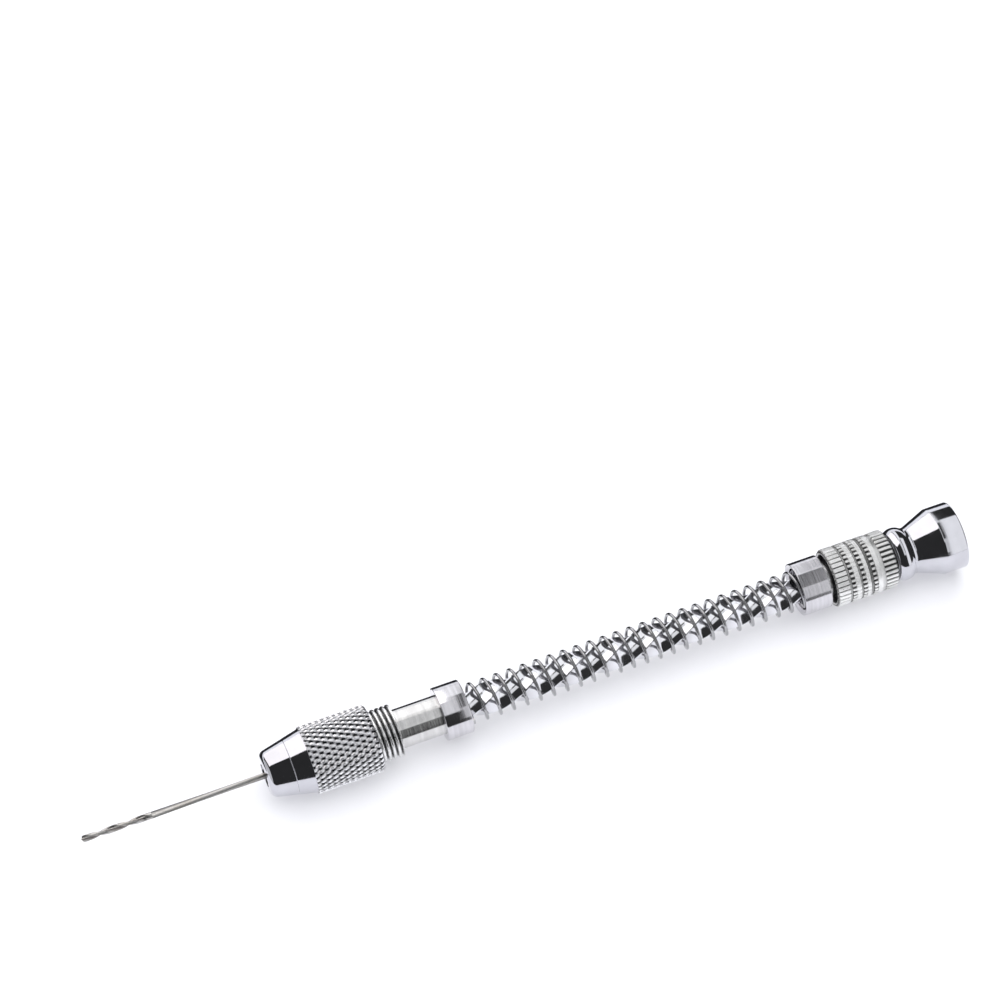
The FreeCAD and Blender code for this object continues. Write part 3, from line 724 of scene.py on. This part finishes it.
def rod_phase(corners_from=1.35):
    """Angle of a corner at x = 0; corners_from times the half width is where corners begin."""
    points = np.array([vertex.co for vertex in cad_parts["twisted_rod"].data.vertices]) / MM
    out = np.hypot(points[:, 1], points[:, 2])
    corners = points[out > corners_from * SQUARE_HALF]
    facing = np.arctan2(corners[:, 2], corners[:, 1]) + 2 * math.pi * corners[:, 0] / ROD_LEAD
    return np.angle(np.exp(4j * facing).mean()) / 4


print("corner at x = 0 faces", round(math.degrees(rod_phase()), 1), "degrees")

# %% [markdown]
# The bar's section is a square with its corners cut. Each corner gets three points: two where
# the cut starts and one just outside the cut, so that the corner is a little round.

# %% Square section with broken corners
def square_ring(half, flat, steps=6, roundness=0.46):
    """Angles and radii of a square whose corners are cut by a flat of that width."""
    cut = flat / math.sqrt(2)
    points = []
    for side in range(4):
        turn = side * math.pi / 2
        line = [(half, along) for along in np.linspace(-(half - cut), half - cut, steps)]
        line.append((half - roundness * cut, half - roundness * cut))
        for out, along in line:
            points.append((out * math.cos(turn) - along * math.sin(turn),
                           out * math.sin(turn) + along * math.cos(turn)))
    points = np.array(points)
    return np.arctan2(points[:, 1], points[:, 0]), np.hypot(points[:, 0], points[:, 1])


# %% [markdown]
# Along the bar, each ring is turned a little more than the last. In front and behind, the same
# angles carry plain round rings: the spigot in the chuck, and the tail with its clip groove.

# %% Twisted rod
def twist_rod():
    front, rear = ends("twisted_rod")
    inside_collar, steps = 0.3, 360
    twist_front = ends("front_collar")[1] - inside_collar
    twist_rear = ends("stop_washer")[0]
    clip_front, clip_rear = ends("tail_clip")
    spigot, tail, groove, spigot_edge, tail_edge = 1.59, 1.45, 1.15, 0.1, 0.2
    facing, reach = square_ring(SQUARE_HALF, flat=0.24)
    start = rod_phase() - math.pi / 4

    def turned(place):
        return facing + start - 2 * math.pi * place / ROD_LEAD

    front_rings = [(front, 0.0), (front, spigot - spigot_edge), (front + spigot_edge, spigot),
                   (twist_front, spigot)]
    rear_rings = [(twist_rear, tail), (clip_front, tail), (clip_front, groove), (clip_rear, groove),
                  (clip_rear, tail), (rear - tail_edge, tail), (rear, tail - tail_edge), (rear, 0.0)]
    rings = [ring(place, radius, turned(twist_front)) for place, radius in front_rings]
    rings += [ring(place, reach, turned(place)) for place in np.linspace(twist_front, twist_rear, steps)]
    rings += [ring(place, radius, turned(twist_rear)) for place, radius in rear_rings]
    piece = finish_mesh("twist_rod", np.concatenate(rings), skin(len(rings), len(facing)), sharp=30.0)
    return fit(piece, "spindle", "rod_chrome", "twisted_rod")


twist_rod()

# %% [markdown]
# ## Return spring
# Open-coiled round wire, wound to the right. Rings round a slanting wire are awkward to stack,
# and this is what curves are for: points on a helix, with a round bevel that is the wire. Then
# the curve becomes a mesh, so that it can be squashed when the slider comes forward.

# %% Wire wound into a coil
def wound_wire(places, middle, angles, wire):
    """Mesh of a round wire that follows a helix."""
    curve = bpy.data.curves.new("spring_path", "CURVE")
    curve.dimensions = "3D"
    curve.bevel_depth = wire * MM
    curve.bevel_resolution = 4
    curve.use_fill_caps = True
    path = curve.splines.new("POLY")
    path.points.add(len(places) - 1)
    points = np.stack([places, middle * np.cos(angles), middle * np.sin(angles)], 1) * MM
    path.points.foreach_set("co", np.concatenate([points, np.ones((len(points), 1))], 1).ravel())
    wound = in_scene(bpy.data.objects.new("spring_path", curve))
    bpy.context.view_layer.update()
    mesh = bpy.data.meshes.new_from_object(wound)
    bpy.data.objects.remove(wound)
    mesh.shade_smooth()
    mesh.set_sharp_from_angle(angle=math.radians(50))
    return mesh


# %% [markdown]
# The real spring gets shorter as the sleeve comes forward. Bending it by bones would be much
# work for the same result as squashing the mesh along the axis, which keeps its front end still.
# Here the spring is wound at its full length.

# %% Return spring
def coil_spring():
    front, rear = ends("return_spring")
    wire, pitch, steps = 0.24, 2.06, 40
    # At first_top the wire faces top_facing: mostly towards the back, and a little up.
    first_top, top_facing = -75.45, math.radians(24.4)
    places = np.linspace(front + wire, rear - wire, int((rear - front) / pitch * steps))
    angles = top_facing + 2 * math.pi * (places - first_top) / pitch
    mesh = wound_wire(places, outer_radius("return_spring") - wire, angles, wire)
    piece = in_scene(bpy.data.objects.new("coil_spring", mesh))
    fit(piece, "spindle", "spring_steel", "return_spring")
    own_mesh(piece)
    return piece


coil_spring()

# %% [markdown]
# ## Chuck body
# A plain turned shaft behind, and a helical thread in front that the nose nut screws on. Screw
# threads are often made with a Screw modifier. Here one more stack of rings does it: at each
# step along the axis, the ring's radius follows the turn of the helix.

# %% Helical thread
THREAD_PITCH, THREAD_DEPTH = 0.75, 0.42


def thread_rings(front, rear, crest, angles):
    """Rings of a thread with narrow roots and round crests, which rises gently from its front end."""
    root, flank, run_in = 0.12, 0.62, 0.8
    places = np.arange(front, rear, THREAD_PITCH / 12)
    turns = (places[:, None] / THREAD_PITCH - angles[None, :] / (2 * math.pi)) % 1.0
    from_root = np.abs(turns - 0.5) * 2
    rise = np.clip((from_root - root) / flank, 0, 1)
    thread = crest - THREAD_DEPTH * (1 - np.sin(rise * math.pi / 2))
    begun = np.clip((places - front) / run_in, 0, 1)[:, None]
    return list(zip(places, np.minimum(thread, crest - THREAD_DEPTH * (1 - begun))))


# %% [markdown]
# Behind the thread the shaft drops to its own radius, and the rings come back through the hole
# for the rod and the bore for the collet. The thread's roots get painted shade, so it has its own finish.

# %% Chuck body
def threaded_shaft():
    front, rear = ends("chuck_body")
    crest = outer_radius("chuck_body")
    shaft, bore, socket, socket_depth, edge = 2.9, 2.45, 1.61, 8.0, 0.15
    bare_length, relief, relief_rise, relief_slope, last_crest, collet_play = 6.48, 0.1, 0.12, 0.04, 0.12, 0.1
    thread_rear = ends("front_collar")[0] - bare_length
    socket_floor = rear - socket_depth
    collet_floor = ends("collet")[1] + collet_play
    angles = circle(120)
    plain = np.ones(len(angles))
    thread = thread_rings(front, thread_rear - last_crest, crest, angles)
    after = [
        (thread_rear - relief, crest - THREAD_DEPTH),
        (thread_rear, shaft + relief_rise),
        (thread_rear + relief_slope, shaft),
        (rear - edge, shaft),
        (rear, shaft - edge),
        (rear, socket),
        (socket_floor, socket),
        (socket_floor, 0.0),
        (collet_floor, 0.0),
        (collet_floor, bore),
        (front, bore),
    ]
    # The hollow value paints shade into the thread's roots.
    hollow = [(crest - radii) / THREAD_DEPTH for _, radii in thread] + [plain * 0] * len(after)
    rings = thread + [(place, plain * radius) for place, radius in after]
    piece = stack_rings("threaded_shaft", rings, angles, hollow=np.clip(hollow, 0, 1))
    fit(piece, "spindle", "turned_steel", "chuck_body")
    return finish_front(piece, "thread_steel", thread_rear - relief / 2)


threaded_shaft()

# %% [markdown]
# ## Nose nut
# The nut closes the collet. Its barrel is diamond knurled: two sets of grooves cross at a
# slant and leave rows of blunt pyramids. Bump could fake it, but the outline would stay smooth.
# If one step round and one step along both move half a groove's fraction, every crease of both
# sets runs through mesh points, so the pyramids stay crisp with few faces.

# %% Diamond knurl
GROOVES, GROOVE_LENGTH, GROOVE_DEPTH, GROOVE_STEPS = 36, 1.75, 0.21, 6
NUT_ANGLES = circle(2 * GROOVES * GROOVE_STEPS)


def diamond_knurl(front, rear, radius):
    """Rings of crossed grooves between two places, and the painted shade in the pits where two cross."""
    gap, flat_from = 0.01, 0.52
    rear_fade, rear_drop, front_fade, front_drop = 0.35, 0.3, 0.1, 0.12
    length = rear - front - 2 * gap
    count = int(round(length / (GROOVE_LENGTH / (2 * GROOVE_STEPS))))
    places = rear - gap - np.arange(count, -1, -1) * length / count
    along, round_it = np.arange(count + 1)[:, None], np.arange(len(NUT_ANGLES))[None, :]
    one = ((round_it + along) / (2 * GROOVE_STEPS)) % 1.0
    other = ((round_it - along) / (2 * GROOVE_STEPS)) % 1.0
    from_one, from_other = 2 * np.minimum(one, 1 - one), 2 * np.minimum(other, 1 - other)
    height = np.clip(np.minimum(from_one, from_other) / flat_from, 0, 1)
    knurl = radius - GROOVE_DEPTH * (1 - height)
    whole = np.clip((rear - places) / rear_fade, 0, 1)[:, None]
    knurl = np.minimum(knurl, radius - rear_drop * (1 - whole))
    whole = np.clip((places - front) / front_fade, 0, 1)[:, None]
    knurl = np.minimum(knurl, radius - front_drop * (1 - whole))
    # Painted shade in the pits where two grooves cross; weaker values get none.
    spread, no_shade_below = 2.4, 0.35
    painted_shade = np.clip(spread * (1 - from_one) * (1 - from_other) - no_shade_below, 0, 1)
    return list(zip(places, knurl)), painted_shade


print("diamonds round the nut:", GROOVES)

# %% [markdown]
# The nose in front of the knurl is a polished cone that ends in a rounded tip, with one fine
# scored line round it. It could be a piece of its own, but the real nut is one bar, so its
# outline is open at the knurl and joins it there.

# %% Outline of the nose
NOSE_BORE = 1.7


def nose_corners(front, knurl_front, radius):
    """Corners from the edge of the bore, over the tip and the cone, to the start of the knurl."""
    step, cone, tip, flat = 0.25, 5.3, 3.5, 2.25
    score_back, score_half, score_depth = 2.6, 0.05, 0.045
    score = knurl_front - score_back
    slope = (radius - step - tip) / cone
    score_radius = radius - step - score_back * slope
    tip_length = knurl_front - cone - front
    squareness, first, last = 0.9, 0.2, math.pi / 2 - 0.12
    tip_arc = [(front + tip_length * (1 - math.cos(turn)),
                flat + (tip - flat) * math.sin(turn) ** squareness, 0.0)
               for turn in np.linspace(first, last, 10)]
    return [
        (front, NOSE_BORE, 0.06),
        (front, flat, 0.12),
        *tip_arc,
        (score - score_half, score_radius - score_half * slope, 0.01),
        (score, score_radius - score_depth, 0.01),
        (score + score_half, score_radius + score_half * slope, 0.01),
        (knurl_front, radius - step, 0.06),
        (knurl_front, radius - step - 0.1, 0.0),
    ]


# %% [markdown]
# The whole nut is the nose, the knurl, and the stepped bores inside that clear the thread and
# the collet. The knurl's rings are the crossed ones, and the nose gets the polished finish.

# %% Nose nut
def nose_nut():
    front, rear = ends("chuck_nut")
    radius = outer_radius("chuck_nut")
    barrel, body_bore, head_bore, taper_length, body_gap = 10.0, 3.9, 3.2, 4.6, 0.2
    rear_edge, bore_edge, bore_edge_length, nose_land = 0.5, 0.15, 0.2, 0.25
    knurl_front = rear - barrel
    body_front = ends("chuck_body")[0] - body_gap
    taper = ends("collet")[0] + taper_length
    nose = eased(nose_corners(front, knurl_front, radius), steps=6)[:-1]
    knurl, painted_shade = diamond_knurl(knurl_front, rear, radius)
    inside = [
        (rear, radius - rear_edge),
        (rear, body_bore + bore_edge),
        (rear - bore_edge_length, body_bore),
        (body_front, body_bore),
        (body_front, head_bore),
        (taper, head_bore),
        (front + nose_land, NOSE_BORE),
    ]
    first, count = len(nose), len(knurl)
    crossed = range(first, first + count - 1)
    hollow = np.zeros((first + count + len(inside), len(NUT_ANGLES)))
    # The knurl's painted shade goes in with the hollow value.
    hollow[first:first + count] = painted_shade
    piece = stack_rings("nose_nut", [*nose, *knurl, *inside], NUT_ANGLES, crossed, hollow)
    fit(flat_faced(piece), "chuck_nut", "nut_nickel", "chuck_nut")
    return finish_front(piece, "nose_polish", knurl_front)


nose_nut()

# %% [markdown]
# ## Twist bit
# A fine twist drill: a plain ground shank, then two flutes that wind to the right, and a ground
# point. Sweeping a cutter along a helix would be true to the factory but slow. Its section is
# just a circle with two hollows, so once more rings will do. Between the flutes lie the lands,
# and behind each land's leading edge the metal is ground back a little.

# %% Section of the bit
def smooth(value):
    """Ease a value that runs from 0 to 1 at both ends."""
    return value * value * (3 - 2 * value)


def bit_section(angles):
    """At each angle: flute depth from 0 to 1, if it is on a land's trailing side, if it is ground back."""
    from_middle = ((angles + math.pi / 2) % math.pi) - math.pi / 2
    from_land = np.abs(from_middle)
    start = np.where(from_middle > 0, math.radians(24), math.radians(34))
    stop = np.where(from_middle > 0, math.radians(44), math.radians(72))
    flute = smooth(np.clip((from_land - start) / (stop - start), 0, 1))
    trailing = from_middle < 0
    ground_back = trailing & (from_land > math.radians(12))
    return flute, trailing, ground_back


# %% [markdown]
# The section turns as it goes along, and the flutes run out in a short slope. At the front, no
# ring may be wider than the cone of the point.

# %% Twist bit
def twist_bit():
    front, rear = ends("drill_bit")
    radius = outer_radius("drill_bit")
    lead, flute_length, run_out, web, relief = 8.4, 8.4, 1.8, 0.36, 0.03
    point_half_angle, tip_radius, end_edge = math.radians(60), 0.01, 0.08
    angles = circle(60)
    flute, trailing, ground_back = bit_section(angles)
    flute_rear = front + flute_length + run_out
    # Rings stand close together over the point, then evenly along the flutes; the shank needs none.
    places = np.concatenate([
        [front + 0.002], np.linspace(front + 0.02, front + 0.42, 11),
        np.arange(front + 0.5, flute_rear + 0.2, 0.09), [rear - 0.1, rear],
    ])
    rings, painted_shade = [], []
    for place in places:
        deep = smooth(np.clip((flute_rear - place) / run_out, 0, 1))
        around = radius * (1 - (1 - web) * flute * deep - relief * ground_back * deep)
        around = np.minimum(around, (place - front) * math.tan(point_half_angle) + tip_radius)
        if place == rear:
            around = around - end_edge
        rings.append(ring(place, around, angles + 2 * math.pi * (place - front) / lead))
        # Painted shade on the trailing half of each flute, as deep as the flute.
        painted_shade.append(flute * deep * trailing)
    first_end = tuple(range(len(angles)))
    last_end = tuple((len(rings) - 1) * len(angles) + step for step in first_end)
    faces = [first_end[::-1], last_end] + skin(len(rings), len(angles))
    piece = finish_mesh("twist_bit", np.concatenate(rings), faces, sharp=32.0, hollow=np.concatenate(painted_shade))
    return fit(piece, "drill_bit", "bit_steel", "drill_bit")


twist_bit()

# %% [markdown]
# ## Pieces that keep their CAD shape
# The collet, washers, clip, ball, bush, pin and drive nut are already the right shape, and most
# of them are hidden inside. Remaking them would gain nothing, so they only get their finish.

# %% Finish the carried-over pieces
CARRIED = {
    "collet": "hard_steel",
    "thrust_washer": "hard_steel",
    "stop_washer": "hard_steel",
    "tail_washer": "hard_steel",
    "tail_clip": "hard_steel",
    "thrust_ball": "hard_steel",
    "rod_cross_pin": "hard_steel",
    "drive_nut": "nut_plated",
    "cap_bush": "bush_bronze",
}
for node, slot in CARRIED.items():
    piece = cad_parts[node]
    piece.data.materials.clear()
    piece.data.materials.append(FINISHES[slot])
print("carried over:", len(CARRIED))

# %% [markdown]
# ## Table top
# The drill lies on a plain pale sheet, large enough to fill every view. A curved backdrop would
# hide the horizon as well, but every camera here looks down, so a flat sheet is enough.

# %% Table top
def flat_sheet(name, left, right, near, far, height):
    """A flat sheet that lies level, in metres."""
    mesh = bpy.data.meshes.new(name)
    mesh.from_pydata([(left, near, height), (right, near, height), (right, far, height), (left, far, height)],
                     [], [(0, 1, 2, 3)])
    return in_scene(bpy.data.objects.new(name, mesh))


def table_top():
    half = 1.6
    sheet = flat_sheet("table_top", -half, half, -half, half, CAD_BOX[0][2])
    paper = bpy.data.materials.new("pale_card")
    paper.use_nodes = True
    nodes, links = paper.node_tree.nodes, paper.node_tree.links
    shader = nodes["Principled BSDF"]
    grain = marks(nodes, links, (0.4, 0.4, 0.4), detail=3)
    tone = tinted(nodes, links, grain, dark=(0.86, 0.86, 0.88), light=(0.88, 0.88, 0.90))
    links.new(tone, shader.inputs["Base Color"])
    shader.inputs["Roughness"].default_value = 0.9
    shader.inputs["Specular IOR Level"].default_value = 0.1
    sheet.data.materials.append(paper)
    print("table top:", 2 * half, "m wide at height", round(CAD_BOX[0][2] / MM, 2), "mm")


table_top()

# %% [markdown]
# ## Light
# Bright metal shows the room more than itself. One large soft box stands behind on the left, and
# the metal mirrors it as broad white bands. It is hidden from the table, whose light comes from
# a second, larger box above that the metal doesn't mirror. So the shadow and the bands can be
# set apart from each other, which one lamp for both would not allow.

# %% Soft boxes
def soft_box(name, towards, distance, width, height, power, tint):
    """A large soft light that faces the drill's middle."""
    middle = (Vector(CAD_BOX[0]) + Vector(CAD_BOX[1])) / 2
    light = bpy.data.lights.new(name, "AREA")
    light.shape = "RECTANGLE"
    light.size = width
    light.size_y = height
    light.energy = power
    light.color = tint
    lamp = in_scene(bpy.data.objects.new(name, light))
    way = Vector(towards).normalized()
    lamp.location = middle + way * distance
    up = way.cross(Vector((1, 0, 0))).normalized()
    across = up.cross(way).normalized()
    lamp.rotation_mode = "QUATERNION"
    lamp.rotation_quaternion = Matrix((across, up, way)).transposed().to_quaternion()
    lamp.visible_camera = False
    print(name, "gives", power, "W from", width, "x", height, "m")
    return lamp


back = soft_box("back_soft_box", (-0.32, 0.78, 0.60), distance=0.55, width=0.44, height=0.85,
                power=2.0, tint=(1.0, 0.97, 0.965))
back.visible_diffuse = False
overhead = soft_box("overhead_fill", (-0.05, 0.45, 1.0), distance=0.9, width=1.7, height=1.7,
                    power=12.0, tint=(0.975, 0.98, 1.0))
overhead.visible_glossy = False

# %% [markdown]
# White walls throw light back everywhere and keep a shadow pale. Real walls would show in the
# metal, so a weak lamp from straight above that casts no shadow stands in for them.

# %% Bounce from the walls
def wall_bounce():
    bounce = bpy.data.lights.new("wall_bounce", "SUN")
    bounce.energy = 1.2
    bounce.color = (0.97, 0.975, 1.0)
    bounce.use_shadow = False
    lamp = in_scene(bpy.data.objects.new("wall_bounce", bounce))
    lamp.visible_glossy = False
    print("wall bounce:", round(bounce.energy, 2), "W per square metre")


wall_bounce()

# %% [markdown]
# A strip of black card lies on the table behind the drill. Only the metal sees it: it is meant
# to put a thin dark line along the upper edges, which keeps bright pieces apart from a white
# table. A dark patch on the room's walls can't do that, because there the metal mirrors the table.

# %% Black card
def black_card():
    above_table, past_ends, near, far = 0.0002, 0.02, 0.0065, 0.026
    card = flat_sheet("black_card", CAD_BOX[0][0] - past_ends, CAD_BOX[1][0] + past_ends, near, far,
                      CAD_BOX[0][2] + above_table)
    card.visible_camera = card.visible_diffuse = card.visible_shadow = False
    velvet = bpy.data.materials.new("black_velvet")
    velvet.use_nodes = True
    shader = velvet.node_tree.nodes["Principled BSDF"]
    shader.inputs["Base Color"].default_value = (0.01, 0.01, 0.012, 1)
    shader.inputs["Roughness"].default_value = 1.0
    card.data.materials.append(velvet)
    print("black card:", round((far - near) / MM, 1), "mm wide")


black_card()

# %% [markdown]
# The room itself is dark, with a few soft patches of light on its walls. More lamps could stand
# there, but a patch in the world needs no place, only a direction. A patch is a window in two
# directions: how far to the right it is seen, and its angle up from the back round to the front.
# Each kind of surface picks up the patches that its slope turns towards it.

# %% Where the patches of light are
ROOM_PATCHES = [
    # left, right (-1 to 1), lower and upper angle in degrees, strength
    (-1.2, -0.74, -10, 200, 0.7),
    (0.02, 0.262, 0, 57, 1.3),
    (-0.05, 0.195, 57, 82, 0.95),
    (-0.05, 0.195, 82, 128, 0.98),
    (0.215, 0.270, 117, 166, 0.8),
    (0.274, 0.62, 49, 184, 1.2),
]
DARK_ROOM, CAMERA_SEES = 0.035, 0.95
SOFT_ACROSS, SOFT_UPWARD = 0.006, 0.05
print("patches of light:", len(ROOM_PATCHES))

# %% [markdown]
# A window is one smooth slope up times another one down. These helpers join the world's nodes
# as if they were sums on paper.

# %% Sums and windows made of nodes
def maths(nodes, links, operation, *values):
    """One Math node; each value is a number or another node's output."""
    node = nodes.new("ShaderNodeMath")
    node.operation = operation
    for socket, value in zip(node.inputs, values):
        if isinstance(value, (int, float)):
            socket.default_value = value
        else:
            links.new(value, socket)
    return node.outputs["Value"]


def slope(nodes, links, value, start, stop):
    """Rises smoothly from 0 at start to 1 at stop."""
    change = nodes.new("ShaderNodeMapRange")
    change.interpolation_type = "SMOOTHSTEP"
    change.inputs["From Min"].default_value = start
    change.inputs["From Max"].default_value = stop
    links.new(value, change.inputs["Value"])
    return change.outputs["Result"]


def window(nodes, links, value, start, stop, soft):
    """1 between start and stop, 0 outside, with soft edges."""
    return maths(nodes, links, "MULTIPLY", slope(nodes, links, value, start - soft, start + soft),
                 slope(nodes, links, value, stop + soft, stop - soft))


# %% [markdown]
# The patches are added up into the world's strength. Past the edge of the table the camera
# itself sees a plain pale backdrop instead of the dark room.

# %% Dim room
def dim_room():
    room = bpy.data.worlds.new("dim_room")
    bpy.context.scene.world = room
    room.use_nodes = True
    nodes, links = room.node_tree.nodes, room.node_tree.links
    place = nodes.new("ShaderNodeTexCoord")
    split = nodes.new("ShaderNodeSeparateXYZ")
    links.new(place.outputs["Generated"], split.inputs["Vector"])
    across = split.outputs["X"]
    upward = maths(nodes, links, "ARCTAN2", split.outputs["Z"], split.outputs["Y"])
    glow = DARK_ROOM
    for left, right, low, high, strength in ROOM_PATCHES:
        patch = maths(nodes, links, "MULTIPLY", window(nodes, links, across, left, right, SOFT_ACROSS),
                      window(nodes, links, upward, math.radians(low), math.radians(high), SOFT_UPWARD))
        glow = maths(nodes, links, "MULTIPLY_ADD", patch, strength, glow)
    seen = nodes.new("ShaderNodeLightPath")
    mix = nodes.new("ShaderNodeMix")
    mix.inputs["B"].default_value = CAMERA_SEES
    links.new(seen.outputs["Is Camera Ray"], mix.inputs["Factor"])
    links.new(glow, mix.inputs["A"])
    backdrop = nodes["Background"]
    links.new(mix.outputs["Result"], backdrop.inputs["Strength"])
    backdrop.inputs["Color"].default_value = (0.97, 0.98, 1.0, 1)
    print("nodes in the room:", len(nodes))


dim_room()
bpy.context.scene.view_settings.view_transform = "Standard"

# %% [markdown]
# ## Camera
# A long lens looks down at the drill from in front and to the left, steeply enough that the
# table fills the view. A short lens closer by would frame it too, but would swell the near end.

# %% Camera
def set_camera():
    lens = bpy.data.cameras.new("studio_camera")
    lens.sensor_width = 36.0
    lens.lens = 125.87
    lens.clip_start, lens.clip_end = 0.01, 20.0
    camera = in_scene(bpy.data.objects.new("studio_camera", lens))
    camera.location = Vector((-151.13, -204.99, 450.92)) * MM
    azimuth, elevation = math.radians(-21.23), math.radians(60.85)
    camera.rotation_euler = (math.pi / 2 - elevation, 0, azimuth)
    bpy.context.scene.camera = camera
    print("camera: a", round(lens.lens, 1), "mm lens,", round(camera.location.z, 2), "m up")


set_camera()

# %% [markdown]
# ## Sizes
# The looks must fill the same box as the CAD model, so the CAD box is printed. A glance
# would miss a piece that grew by a tenth of a millimetre; the numbers don't.

# %% Print the CAD box
print("CAD box:", np.round(CAD_BOX, 5).tolist())
